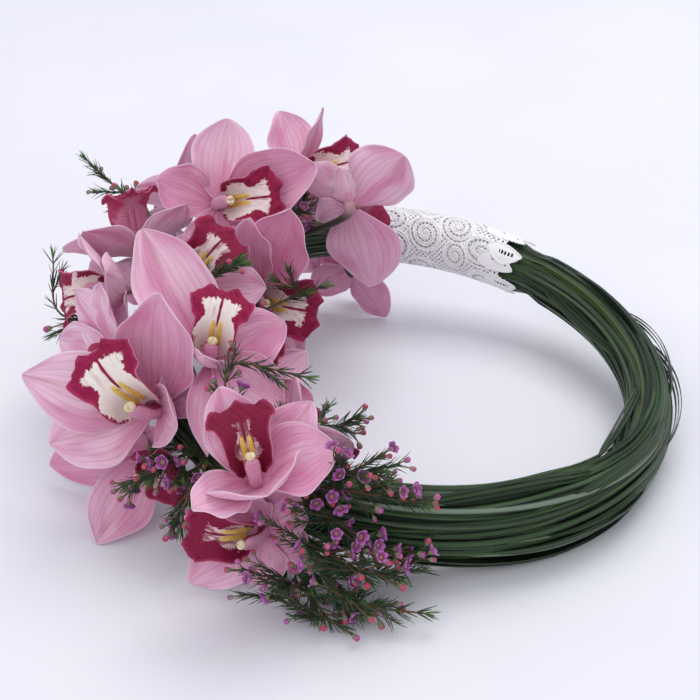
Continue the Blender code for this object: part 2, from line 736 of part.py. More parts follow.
def along_curve(points, t):
    """Point and direction on a smooth curve through the points."""
    p = [2 * points[0] - points[1]] + list(points) + [2 * points[-1] - points[-2]]
    n = len(points) - 1
    k = min(int(t * n), n - 1)
    u = t * n - k
    a, b, c, d = p[k], p[k + 1], p[k + 2], p[k + 3]
    at = 0.5 * (2 * b + (c - a) * u + (2 * a - 5 * b + 4 * c - d) * u * u + (3 * b - a - 3 * c + d) * u ** 3)
    way = 0.5 * ((c - a) + 2 * (2 * a - 5 * b + 4 * c - d) * u + 3 * (3 * b - a - 3 * c + d) * u * u)
    return at, way / np.linalg.norm(way)


def needle_piece(tip):
    """A needle leaf on a four-cornered patch of the stem."""
    return [tip], [(0, 1, 4), (1, 2, 4), (2, 3, 4), (3, 0, 4)]


def ring_at(middle, way, side, radius, count, notch=1.0, turn=0.0):
    other = np.cross(way, side)
    made = []
    for k in range(count):
        r = radius * (notch if k % 2 else 1)
        f = math.tau * k / count + turn
        made.append(middle + r * (math.cos(f) * side + math.sin(f) * other))
    return made


def bud_piece(end, way, side):
    """A stalk with a closed bud."""
    verts = ring_at(end, way, side, 0.55, 4) + ring_at(end + way * BUD, way, side, BUD, 4)
    verts.append(end + way * BUD * 2.2)
    faces = []
    for k in range(4):
        n = (k + 1) % 4
        faces += [(k, n, 4 + n), (k, 4 + n, 4 + k), (4 + k, 4 + n, 8 + n), (4 + k, 8 + n, 8 + k)]
        faces.append((8 + k, 8 + n, 12))
    return verts, faces


def cup_piece(end, way, side):
    """A stalk with an open flower: a shallow cup with a notched rim."""
    verts = ring_at(end, way, side, 0.55, 4)
    verts += ring_at(end + way * CUP * 0.55, way, side, CUP, 8, 0.74)
    verts.append(end + way * CUP * 0.3)
    faces = []
    for k in range(4):
        n = (k + 1) % 4
        a, b, c = 8 + 2 * k, 8 + (2 * k + 1) % 8, 8 + (2 * k + 2) % 8
        faces += [(k, n, 4 + n), (k, 4 + n, 4 + k)]
        faces += [(4 + k, b, a), (4 + k, 4 + n, b), (4 + n, c, b), (16, a, b), (16, b, c)]
    return verts, faces


def give_way(points, number):
    """The stem's points as drawn, or moved a little at a time until the stem is clear."""
    rng = random.Random(50 + number)
    for attempt in range(240):
        reach = 0.0 if attempt == 0 else 2.0 + attempt * 0.08
        moved = [points[0] + np.array([rng.uniform(-1, 1) for _ in range(3)]) * reach * 0.4]
        for p in points[1:]:
            moved.append(p + np.array([rng.uniform(-1, 1) for _ in range(3)]) * reach)
        at = [along_curve(moved, t)[0] for t in np.linspace(0, 1, 12)]
        fat = tube(at, [STEM_RADIUS + 0.5] * 12, 4)
        if fat[0][:, 2].min() < 0.8 or placed.hits(*fat, skip=("grass_hoop",)):
            continue
        free = tube(at[4:], [STEM_RADIUS + 0.5] * 8, 4)
        if placed.hits(*free):
            continue
        return moved
    return None


for number, (name, points, nodes, buds, cups) in enumerate(SPRAYS):
    own = "spray_" + name
    points = give_way([np.array(p, float) for p in points], number)
    if points is None:
        continue
    rng = random.Random(number + 1)
    long = sum(np.linalg.norm(along_curve(points, (k + 1) / 20)[0] - along_curve(points, k / 20)[0])
               for k in range(20))
    half = 0.9 / long
    spots = [0.3 + 0.66 * k / (nodes - 1) for k in range(nodes)]
    stops = [0.0] + [t + e for t in spots for e in (-half, half)] + [1.0]
    verts, faces = tube([along_curve(points, t)[0] for t in stops],
                        [STEM_RADIUS * (1.1 - 0.4 * t) for t in stops], 4)
    verts = list(verts)
    placed.add(own, np.array(verts), faces)
    pieces = []
    grown = []
    heads = ["cup"] * cups + ["bud"] * buds
    for k, t in enumerate(spots):
        at, way = along_curve(points, t)
        for j in range(4):
            ring = (2 * k + 1) * 4
            base = [ring + j, ring + (j + 1) % 4, ring + 4 + (j + 1) % 4, ring + 4 + j]
            corner = np.array([verts[b] for b in base])
            out = corner.mean(0) - at
            out = out / np.linalg.norm(out)
            if (j + k) % 2 == 0:
                lean = math.radians(rng.uniform(24, 46))
                tip = at + (way * math.cos(lean) + out * math.sin(lean)) * NEEDLE * rng.uniform(0.8, 1.2)
                more, shape = needle_piece(tip)
            elif heads and k >= 1 and rng.random() < 0.75:
                kind = heads.pop(0)
                lean = math.radians(rng.uniform(32, 60))
                ahead = way * math.cos(lean) + out * math.sin(lean)
                end = at + ahead * rng.uniform(8, 14)
                side = (corner[0] - corner.mean(0))
                side = side - ahead * (side @ ahead)
                side = side / np.linalg.norm(side)
                more, shape = (cup_piece if kind == "cup" else bud_piece)(end, ahead, side)
            else:
                continue
            local = np.concatenate([corner + out * 0.5, np.array(more)])
            if local[:, 2].min() < 0.6:
                continue
            lid = shape + [(0, 3, 2), (0, 2, 1)]
            test = local.mean(0) + (local - local.mean(0)) * 1.05
            if placed.hits(test, lid, skip=(own,)):
                continue
            tree = BVHTree.FromPolygons([tuple(v) for v in local], lid)
            if any(tree.overlap(other) for other in grown):
                continue
            grown.append(tree)
            pieces.append((base, more, shape, (local, lid)))
    for base, more, shape, test in pieces:
        drop = {tuple(sorted(f)) for f in ((base[0], base[1], base[2]), (base[0], base[2], base[3]))}
        faces = [f for f in faces if tuple(sorted(f)) not in drop]
        first = len(verts)
        verts += list(more)
        index = list(base) + list(range(first, first + len(more)))
        faces += [tuple(index[i] for i in f) for f in shape]
        placed.add(own, *test)
    body = mesh_object(own, np.array(verts), faces, bouquet)
    give_material(body, SPRAY_GREEN, 0.55)
    join_all(body, work, seat)

bpy.data.collections.remove(work)
bpy.data.collections.remove(loose)
for thing in bouquet.objects:
    for face in thing.data.polygons:
        face.use_smooth = True
    thing.data.set_sharp_from_angle(angle=math.radians(40))
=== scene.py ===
"""Wreath-shaped bridal bouquet: bound grass, a lace handle, cymbidium orchids and waxflower.
"""
import math
import random

import bpy
import numpy as np
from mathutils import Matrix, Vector
from mathutils.bvhtree import BVHTree


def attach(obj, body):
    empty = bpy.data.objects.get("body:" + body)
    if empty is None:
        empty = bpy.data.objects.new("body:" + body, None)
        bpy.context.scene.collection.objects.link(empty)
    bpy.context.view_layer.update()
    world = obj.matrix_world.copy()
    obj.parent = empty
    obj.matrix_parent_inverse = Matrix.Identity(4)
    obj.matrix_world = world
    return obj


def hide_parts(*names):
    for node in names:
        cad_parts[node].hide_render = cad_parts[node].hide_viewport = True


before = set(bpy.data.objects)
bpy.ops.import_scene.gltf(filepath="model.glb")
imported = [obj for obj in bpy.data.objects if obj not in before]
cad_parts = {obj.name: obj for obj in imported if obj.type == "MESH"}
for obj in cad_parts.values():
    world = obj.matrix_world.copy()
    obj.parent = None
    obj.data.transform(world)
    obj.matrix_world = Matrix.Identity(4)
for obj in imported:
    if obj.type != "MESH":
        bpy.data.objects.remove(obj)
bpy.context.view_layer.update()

scene = bpy.context.scene

# ---------------------------------------------------------------------------------------
# Table, light and camera. The bouquet lies on a pale, smooth table that the studio sweeps up
# behind it. A broad soft light stands above and behind it, as a window would.


class Wire:
    """A socket that sums are written with: each operator adds its Math node."""

    def __init__(self, tree, socket=None):
        self.tree = tree
        self.socket = socket

    def node(self, kind, settings=None, values=None, out=0):
        """Any node of that type: its settings first, then its sockets' values or links."""
        made = self.tree.nodes.new("ShaderNode" + kind)
        for name, value in (settings or {}).items():
            if name == "stops":
                for at, _ in value[1:-1]:
                    made.color_ramp.elements.new(at)
                for stop, (at, colour) in zip(made.color_ramp.elements, value):
                    stop.position = at
                    stop.color = (*colour, 1)
            else:
                setattr(made, name, value)
        for name, value in (values or {}).items():
            socket = made.inputs[name]
            if isinstance(value, Wire):
                self.tree.links.new(value.socket, socket)
            else:
                socket.default_value = (*value, 1) if socket.type == "RGBA" else value
        return Wire(self.tree, made.outputs[out])

    def maths(self, operation, *values):
        return self.node("Math", {"operation": operation}, dict(enumerate(values)))

    def __add__(self, other):
        return self.maths("ADD", self, other)

    def __sub__(self, other):
        return self.maths("SUBTRACT", self, other)

    def __rsub__(self, other):
        return self.maths("SUBTRACT", other, self)

    def __mul__(self, other):
        return self.maths("MULTIPLY", self, other)

    def __abs__(self):
        return self.maths("ABSOLUTE", self)

    __radd__ = __add__
    __rmul__ = __mul__

    def sine(self):
        return self.maths("SINE", self)

    def rise(self, low, high):
        """0 below low, 1 above high, smooth between."""
        return self.node("MapRange", {"interpolation_type": "SMOOTHSTEP"},
                         {0: self, 1: low, 2: high, 3: 0.0, 4: 1.0})

    def mix(self, first, second):
        """The first colour where this is 0, the second where it is 1."""
        return self.node("Mix", {"data_type": "RGBA"}, {0: self, 6: first, 7: second}, out=2)

    def mark(self, name):
        """A number that the mesh carries at each of its points."""
        return self.node("Attribute", {"attribute_name": name}, out="Fac")

    def place(self):
        return self.node("TexCoord", out="Object")

    def noise(self, at, scale, detail=2.0):
        return self.node("TexNoise", None, {"Vector": at, "Scale": scale, "Detail": detail})

    def flat(self, u, v):
        return self.node("CombineXYZ", None, {0: u, 1: v})


def new_material(name, **fixed):
    """A material, its wire and its shader; what is the same all over is set on its sockets."""
    made = bpy.data.materials.new(name)
    made.use_nodes = True
    shader = made.node_tree.nodes["Principled BSDF"]
    for socket, value in fixed.items():
        shader.inputs[socket.replace("_", " ")].default_value = value
    return made, Wire(made.node_tree), shader


def feed(wire, shader, colour, roughness=None, height=None, depth=0.1):
    """Links what changes over the surface; depth is the height of the relief in mm."""
    wire.tree.links.new(colour.socket, shader.inputs["Base Color"])
    if roughness is not None:
        wire.tree.links.new(roughness.socket, shader.inputs["Roughness"])
    if height is not None:
        bump = wire.node("Bump", None,
                         {"Strength": 1.0, "Distance": depth * 0.001, "Height": height})
        wire.tree.links.new(bump.socket, shader.inputs["Normal"])


TABLE_HALF = 3.0
TABLE_WIDE = 5.0
TABLE_CORNER = 1.2
WALL_TOP = 4.0
floor_mesh = bpy.data.meshes.new("table_top")
rows = []
for k in range(13):
    turn = math.pi / 2 * k / 12
    rows.append((TABLE_HALF + TABLE_CORNER * math.sin(turn), TABLE_CORNER * (1 - math.cos(turn))))
rows = [(-TABLE_HALF, 0.0), (0.0, 0.0)] + rows + [(TABLE_HALF + TABLE_CORNER, WALL_TOP)]
floor_mesh.from_pydata([(x * TABLE_WIDE, y, z) for y, z in rows for x in (-1, 1)], [],
                       [(2 * k, 2 * k + 1, 2 * k + 3, 2 * k + 2) for k in range(len(rows) - 1)])
for face in floor_mesh.polygons:
    face.use_smooth = True
table_top = bpy.data.objects.new("table_top", floor_mesh)
scene.collection.objects.link(table_top)
material, wire, shader = new_material("pale_table", Roughness=0.6, Specular_IOR_Level=0.3)
blotch = wire.noise(wire.place(), 5.0, 3.0)
feed(wire, shader, blotch.rise(0.35, 0.7).mix((0.84, 0.845, 0.91), (0.87, 0.875, 0.93)),
     height=wire.noise(wire.place(), 900.0), depth=0.02)
floor_mesh.materials.append(material)

LOOK_AT = (-0.0046, 0.0293, 0.040)
LOOK_DOWN = 32.1
LOOK_FROM = 0.9
LENS = 80.87
SENSOR = 36.0
camera_data = bpy.data.cameras.new("camera")
camera_data.lens = LENS
camera_data.sensor_width = SENSOR
camera_data.clip_start = 0.05
camera = bpy.data.objects.new("camera", camera_data)
down = math.radians(LOOK_DOWN)
camera.location = Vector(LOOK_AT) + Vector((0, -math.cos(down), math.sin(down))) * LOOK_FROM
camera.rotation_euler = (math.pi / 2 - down, 0, 0)
scene.collection.objects.link(camera)
scene.camera = camera
scene.view_settings.view_transform = "Standard"


def soft_light(name, power, size, place, aim, colour=(1, 1, 1)):
    data = bpy.data.lights.new(name, "AREA")
    data.energy = power
    data.size = size
    data.color = colour
    lamp = bpy.data.objects.new(name, data)
    lamp.location = place
    lamp.rotation_euler = (Vector(aim) - Vector(place)).to_track_quat("-Z", "Y").to_euler()
    scene.collection.objects.link(lamp)


soft_light("window_light", 13.0, 1.2, (0.35, 0.55, 1.6), (0, 0, 0.03), (1.0, 0.99, 0.98))
soft_light("front_fill", 9.0, 1.6, (-0.7, -1.5, 1.3), (0, 0, 0.05), (1.0, 0.98, 0.98))
world = bpy.data.worlds.new("studio")
scene.world = world
world.use_nodes = True
world.node_tree.nodes["Background"].inputs["Color"].default_value = (0.93, 0.94, 1.0, 1)
world.node_tree.nodes["Background"].inputs["Strength"].default_value = 0.68

# ---------------------------------------------------------------------------------------
# Grass hoop. About four hundred long grass blades, laid side by side into a ring, lapped round
# it with a slow twist and held by the handle's binding. A few have sprung loose.

MM = 0.001
SHIFT = np.array([28.0, 9.5, 0.0])
HOOP_A = 135.0
HOOP_B = 128.0
HOOP_RISE = 43.8
TILT_X = -0.132
TILT_Y = 0.102
UP = np.array([0, 0, 1.0])
TABLE_GAP = 0.25
TABLE_TOUCH = 0.1
LACE_START = 60
BAND_END = 105


def unit(v):
    return v / np.linalg.norm(v)


def hoop_point(degrees):
    t = math.radians(degrees)
    x = HOOP_A * math.cos(t)
    y = HOOP_B * math.sin(t)
    return np.array([x, y, HOOP_RISE + TILT_X * x + TILT_Y * y])


def hoop_outward(degrees):
    t = math.radians(degrees)
    return unit(np.array([math.cos(t) / HOOP_A, math.sin(t) / HOOP_B, 0.0]))


def grass_half(degrees):
    """Half width and half height of the grass bundle at an angle round the hoop."""
    at = [0, 50, 60, 105, 150, 200, 230, 265, 300, 318, 335, 360]
    wide = [12.5, 13.0, 13.4, 13.4, 13.0, 13.0, 13.0, 13.5, 13.5, 13.5, 13.0, 12.5]
    tall = [15.0, 14.0, 13.4, 13.4, 14.0, 14.0, 16.0, 20.5, 24.5, 23.5, 19.0, 15.0]
    d = degrees % 360
    return np.interp(d, at, wide), np.interp(d, at, tall)


def grid_faces(rows, across, pointed=False):
    """Triangles of a grid; with a pointed tip the last row is its middle vertex alone."""
    faces = []
    last = rows - 1 if pointed else rows
    for i in range(last - 1):
        for j in range(across - 1):
            a = i * across + j
            b = a + across
            faces += [(a, a + 1, b + 1), (a, b + 1, b)]
    if pointed:
        base = (last - 1) * across
        for j in range(across - 1):
            faces.append((base + j, base + j + 1, last * across))
    return faces


def sheet_normals(verts, faces):
    f = np.array(faces)
    n = np.cross(verts[f[:, 1]] - verts[f[:, 0]], verts[f[:, 2]] - verts[f[:, 0]])
    normal = np.zeros_like(verts)
    for k in range(3):
        np.add.at(normal, f[:, k], n)
    return normal / np.maximum(np.linalg.norm(normal, axis=1, keepdims=True), 1e-9)


def closed_slab(verts, faces, half):
    """A sheet with its thickness: both of its sides and its rim."""
    normal = sheet_normals(verts, faces) * np.reshape(half, (-1, 1))
    count = len(verts)
    out = [tuple(f) for f in faces] + [(f[0] + count, f[2] + count, f[1] + count) for f in faces]
    edges = {(f[k], f[(k + 1) % 3]) for f in faces for k in range(3)}
    for a, b in sorted(edges):
        if (b, a) not in edges:
            out += [(b, a, a + count), (b, a + count, b + count)]
    return np.concatenate([verts + normal, verts - normal]), out


class Heap:
    """Gathers the bodies that one piece is made of, then makes its mesh."""

    def __init__(self):
        self.verts = []
        self.faces = []
        self.finish = []
        self.marks = {}
        self.count = 0

    def add(self, verts, faces, finish=0, **marks):
        """Marks are numbers or arrays, one value a vertex; finish is the material's number."""
        verts = np.asarray(verts, float)
        self.faces += [tuple(int(i) + self.count for i in f) for f in faces]
        self.finish += [finish] * len(faces)
        self.verts.append(verts)
        for name in sorted({*self.marks, *marks}):
            kept = self.marks.setdefault(name, [np.zeros(self.count)])
            kept.append(np.zeros(len(verts)) + marks.get(name, 0.0))
        self.count += len(verts)

    def make(self, name, materials, node):
        """The finished piece, which rides on the root and stands for its node."""
        mesh = bpy.data.meshes.new(name)
        place = (np.concatenate(self.verts) + SHIFT) * MM
        place[:, 2] = np.maximum(place[:, 2], TABLE_TOUCH * MM)
        mesh.from_pydata([tuple(p) for p in place], [], self.faces)
        for made in materials:
            mesh.materials.append(made)
        mesh.polygons.foreach_set("material_index", self.finish)
        mesh.polygons.foreach_set("use_smooth", [True] * len(self.faces))
        for mark, values in self.marks.items():
            layer = mesh.attributes.new(mark, "FLOAT", "POINT")
            layer.data.foreach_set("value", np.concatenate(values).astype(np.float32))
        mesh.update()
        mesh.set_sharp_from_angle(angle=math.radians(50))
        piece = bpy.data.objects.new(name, mesh)
        scene.collection.objects.link(piece)
        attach(piece, "root")
        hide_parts(node)
        return piece


def on_table(p):
    """Keeps what hangs lowest on the table."""
    if p[2] < TABLE_GAP:
        p = np.array([p[0], p[1], TABLE_GAP])
    return p


def bundle_spot(degrees, section, stand):
    """A spot on the bundle, the way out of it, and the way round its section."""
    wide, tall = grass_half(degrees)
    out = hoop_outward(degrees)
    c, s = math.cos(section), math.sin(section)
    p = hoop_point(degrees) + out * (wide + stand) * c + UP * (tall + stand) * s
    return p, unit(out * c / wide + UP * s / tall), -out * s + UP * c


def blade_slab(path, wide, thick, fold):
    """A grass blade along a path of spots, normals and ways across, pointed at both ends."""
    grid = []
    marks = []
    for k, (p, normal, across) in enumerate(path):
        s = k / (len(path) - 1)
        half = wide / 2 * min(1.0, 0.25 + 5 * s, 0.12 + 4 * (1 - s))
        for t in (-1, 0, 1):
            grid.append(on_table(p + across * half * t + normal * fold * half * abs(t)))
            marks.append((t, s))
    faces = grid_faces(len(path), 3)
    verts, faces = closed_slab(np.array(grid), faces, thick / 2)
    marks = np.array(marks * 2, float)
    return verts, faces, marks


def turned(normal, across, angle):
    """The blade's own normal and way across when it is tipped about its length."""
    c, s = math.cos(angle), math.sin(angle)
    return normal * c + across * s, across * c - normal * s


PARTING_AT = (323, 118)
PARTING_WIDE = (12, 42)
PARTING_DEEP = 9.0


def parting(degrees, section):
    """How far the inner top of the bundle is sunk where its strands part, at the right front."""
    along = math.exp(-(((degrees % 360) - PARTING_AT[0]) / PARTING_WIDE[0]) ** 2)
    around = math.exp(-((math.degrees(section) % 360 - PARTING_AT[1]) / PARTING_WIDE[1]) ** 2)
    return PARTING_DEEP * along * around


BLADE, CUT, HEART = range(3)
rng = random.Random(11)
grass_heap = Heap()
BLADE_COUNT = 380
# two steps that never fall in with each other, so that the blades cover the ring evenly
RING_STEP = 0.7548777
SECTION_STEP = 0.5698403
BLADE_PIECE = 3.4
for number in range(BLADE_COUNT):
    long = rng.uniform(75, 165)
    start = 360 * (number * RING_STEP % 1.0) + rng.uniform(-8, 8)
    section = math.tau * (number * SECTION_STEP % 1.0) + rng.uniform(-0.1, 0.1)
    drift = rng.uniform(-0.20, 0.34)
    layer = rng.choice((1.1, 0.5, -0.3, -1.2))
    tip_angle = rng.uniform(-0.7, 0.7)
    wide = rng.uniform(1.7, 3.3)
    steps = max(int(long / BLADE_PIECE), 8)
    sway = rng.uniform(0, math.tau)
    sunk = 0.0 if number % 5 == 0 else rng.uniform(0.85, 1.1)
    path = []
    for k in range(steps):
        s = k / (steps - 1)
        d = start + long * s
        stand = layer - 3.2 * (1 - math.sin(math.pi * s) ** 0.35)
        if LACE_START - 9 < d % 360 < BAND_END + 3:
            # under the lace and the binding, which press it down
            stand = min(stand, -0.6)
        stand += 0.3 * math.sin(5 * s + sway)
        f = section + drift * s * long / 60 + 0.05 * math.sin(9 * s + sway)
        stand -= sunk * parting(d, f)
        p, normal, across = bundle_spot(d, f, stand)
        normal, across = turned(normal, across, tip_angle * math.sin(math.pi * s))
        path.append((p, normal, across))
    verts, faces, marks = blade_slab(path, wide, 0.35, -0.6)
    grass_heap.add(verts, faces, BLADE, t=marks[:, 0], s=marks[:, 1] * long / 60,
                   tone=rng.random(), lime=1.0 if rng.random() < 0.2 else 0.0)

# Loose blades that leave the bundle and come back to it: start, end, height round the section
# in degrees, and how far they stand off
LOOSE = [
    (352, 388, 20, 4.5), (-22, 24, -12, 5.0), (300, 345, 35, 3.5), (268, 312, 60, 3.5),
    (282, 330, -25, 4.0), (8, 44, 70, 3.5), (318, 356, 115, 3.5), (10, 50, 160, 3.5),
]
for start, end, section, off in LOOSE:
    for twin in range(3):
        path = []
        for k in range(20):
            s = k / 19
            d = start + (end - start) * s
            f = math.radians(section + 14 * math.sin(3 * s) + 5 * (twin - 1))
            stand = -2.2 + (off + 2.2 + 1.4 * (twin - 1)) * math.sin(math.pi * s) ** 0.7
            path.append(bundle_spot(d, f, stand))
        verts, faces, marks = blade_slab(path, 2.8 - 0.4 * twin, 0.35, -0.1)
        grass_heap.add(verts, faces, BLADE, t=marks[:, 0], s=marks[:, 1], tone=rng.random(),
                       lime=float(twin == 1))

# Cut ends of the bundle that fan out beside the binding: where, height round the section,
# length and how far they lean
CUT_ENDS = [(111, 40, 17, 6), (113, 75, 19, 4), (115, 105, 15, -3), (112, 140, 18, -7),
            (116, 10, 14, 9)]
for at, section, long, lean in CUT_ENDS:
    for twin in range(4):
        f = math.radians(section + 7 * (twin - 1.5))
        foot, lift, across = bundle_spot(at - 3, f, -1)
        along = unit(hoop_point(at + 6) - hoop_point(at)) * long * (0.85 + 0.1 * twin)
        path = []
        for k in range(7):
            s = -0.45 + 1.45 * k / 6
            rise = 4.5 * max(s, 0) ** 1.5 - (1.5 if s < 0 else 0)
            aside = across * lean * 0.3 * max(s, 0)
            path.append((foot + along * s + lift * rise + aside, lift, across))
        verts, faces, marks = blade_slab(path, 3.0, 0.5, -0.2)
        grass_heap.add(verts, faces, CUT, t=marks[:, 0], s=marks[:, 1], tone=rng.random())

# The bundle's heart under the blades, coloured near black as painted shade that shows between them
HEART_STATIONS = 96
HEART_SPOTS = 20
HEART_UNDER = 2.4
heart = []
for i in range(HEART_STATIONS):
    for k in range(HEART_SPOTS):
        d = i * 360 / HEART_STATIONS
        f = math.tau * k / HEART_SPOTS
        heart.append(on_table(bundle_spot(d, f, -HEART_UNDER - 1.15 * parting(d, f))[0]))
heart_faces = []
for i in range(HEART_STATIONS):
    for k in range(HEART_SPOTS):
        a = i * HEART_SPOTS + k
        b = i * HEART_SPOTS + (k + 1) % HEART_SPOTS
        j = (i + 1) % HEART_STATIONS * HEART_SPOTS
        c, d = j + (k + 1) % HEART_SPOTS, j + k
        heart_faces += [(a, d, c), (a, c, b)]
grass_heap.add(heart, heart_faces, HEART)

# Blade: dark green with pale ribs and edges darkened as painted shade between blades; some are
# paler grey-green (partly their own tone, partly painted sheen), and some have one yellow-green
# side
leaf_green, wire, shader = new_material("grass_blade", Specular_IOR_Level=0.34)
t = wire.mark("t")
s = wire.mark("s")
tone = wire.mark("tone")
ribs = (t * 22.0).sine() * 0.5 + 0.5
streak = wire.noise(wire.flat(t * 2.2 + tone * 37.0, s * 0.8 + tone * 11.0), 1.6, 3.0)
green = tone.rise(0.0, 0.8).mix((0.006, 0.018, 0.008), (0.038, 0.090, 0.030))
# painted sheen: a few blades are greyed paler, partly their own tone and partly the grey gloss of
# the grass
green = tone.rise(0.86, 0.93).mix(green, (0.20, 0.27, 0.20))
green = (streak.rise(0.52, 0.75) * 0.8).mix(green, (0.08, 0.14, 0.035))
green = (ribs.rise(0.75, 1.0) * 0.16).mix(green, (0.13, 0.18, 0.13))
lime = wire.mark("lime") * (t + 0.15 * streak).rise(0.15, 0.75)
green = (lime * 0.8).mix(green, (0.13, 0.19, 0.035))
# painted shade: each blade darkens to near black at its edges, for the shadow in the gaps between
# blades
green = (abs(t).rise(0.45, 0.95) * 0.85).mix(green, (0.003, 0.007, 0.004))
feed(wire, shader, green, streak * 0.25 + 0.18, ribs, 0.12)

cut_green, wire, shader = new_material("grass_cut_end", Specular_IOR_Level=0.4)
s = wire.mark("s")
dry = (s + 0.3 * wire.noise(wire.place(), 300.0)).rise(0.75, 1.1)
green = wire.mark("tone").mix((0.02, 0.045, 0.02), (0.06, 0.09, 0.035))
feed(wire, shader, dry.mix(green, (0.30, 0.25, 0.13)), 0.5 + 0.2 * dry,
     (wire.mark("t") * 18.0).sine(), 0.1)


def grained(name, scale, detail, colours, rough, depth, span=None, **fixed):
    """A material of one grain: two colours, the roughness (its share and the least), the relief."""
    made, wire, shader = new_material(name, **fixed)
    grain = wire.noise(wire.place(), scale, detail)
    share = grain.rise(*span) if span else grain
    feed(wire, shader, share.mix(*colours), grain * rough[0] + rough[1], grain, depth)
    return made


# painted shade: the heart's near-black colour stands for the shadow inside the bundle
heart_green = grained("grass_heart", 160.0, 3.0, ((0.004, 0.008, 0.004), (0.02, 0.035, 0.015)),
                      (0.2, 0.6), 0.3, Specular_IOR_Level=0.2)

grass_piece = grass_heap.make("grass_blades", [leaf_green, cut_green, heart_green], "grass_hoop")

# ---------------------------------------------------------------------------------------
# Ribbon under the lace. White satin ribbon wound tightly round the grass where the hand holds
# it, each turn lapped over the last, its ends tucked under.

MM_PER_DEGREE = 2.335
LACE_END = 97.5
BAND_ACROSS = 7
RIBBON_INNER = 14.6
RIBBON_START = 62.0
RIBBON_WIDE = 12.0
RIBBON_TURNS = 11
RIBBON_STEPS = 40


def round_handle(degrees, section, radius):
    """A spot at that radius round the handle."""
    way = hoop_outward(degrees) * math.cos(section) + UP * math.sin(section)
    return hoop_point(degrees) + radius * way


def wound_band(first, last, wide, turns, inner, lap, thick, ripple, seed):
    """A flat band wound round the handle from one angle to another; its length in mm too."""
    rng = random.Random(seed)
    steps = turns * RIBBON_STEPS
    grid = []
    length = 0.0
    half_angle = wide / MM_PER_DEGREE / 2
    waves = [rng.uniform(0, math.tau) for _ in range(4)]
    for k in range(steps + 1):
        s = k / steps
        middle = first + half_angle + (last - first - 2 * half_angle) * s
        f = math.tau * turns * s
        for j in range(BAND_ACROSS):
            t = -1 + 2 * j / (BAND_ACROSS - 1)
            radius = inner + lap * (t + 1) / 2 + thick
            radius += ripple * math.sin(3 * f + waves[0] + t) * math.sin(math.pi * s * 7 + waves[1])
            radius += ripple * 0.6 * math.sin(7.3 * f + waves[2] - 2 * t)
            grid.append(round_handle(middle + half_angle * t, f, radius))
        length += math.tau * (inner + lap / 2) / RIBBON_STEPS
    return np.array(grid), grid_faces(steps + 1, BAND_ACROSS), length


ribbon_heap = Heap()
grid, faces, ribbon_long = wound_band(RIBBON_START, LACE_END, RIBBON_WIDE, RIBBON_TURNS,
                                      RIBBON_INNER, 0.7, 0.1, 0.06, 3)
u = np.tile(np.linspace(-1, 1, BAND_ACROSS), len(grid) // BAND_ACROSS)
verts, faces = closed_slab(grid, faces, 0.1)
ribbon_heap.add(verts, faces, 0, t=np.tile(u, 2))
satin, wire, shader = new_material("ribbon_satin", Sheen_Weight=0.3, Sheen_Roughness=0.4)
# painted shade: each turn greys towards both its edges, where it laps over the last
edge = abs(wire.mark("t")).rise(0.86, 0.97)
weave = (wire.mark("t") * 90.0).sine()
creases = wire.noise(wire.place(), 260.0, 3.0)
# painted shade: the white darkens and lightens with the creases
satin_crease_shade = creases.mix((0.84, 0.835, 0.85), (0.92, 0.915, 0.92))
feed(wire, shader, (edge * 0.5).mix(satin_crease_shade, (0.68, 0.675, 0.68)), creases * 0.15 + 0.32,
     weave * 0.15 + creases, 0.12)
ribbon = ribbon_heap.make("satin_ribbon", [satin], "ribbon_wrap")
ribbon_long * MM

# ---------------------------------------------------------------------------------------
# Lace sleeve. White guipure lace of cotton thread, drawn round the ribbon and sewn shut: raised
# scroll cords joined by bars over a net, and a row of leaves that makes its scalloped edge.

LACE_LONG = 87.5
LACE_ROUND = 107.0
LACE_RADIUS = 16.75
CUFF = 12.0
CELL = 0.53
NET_CELL = 3.1
NET_STRANDS = 30
SCROLL_ROWS = 4
SCROLL_REACH = 11.2
LEAVES = 5
RUNG = 2.3
HEM = 1.6
CORD_HIGH = 0.75


def wrapped(b):
    """Distance round the sleeve, to the nearer side."""
    return (b + LACE_ROUND / 2) % LACE_ROUND - LACE_ROUND / 2


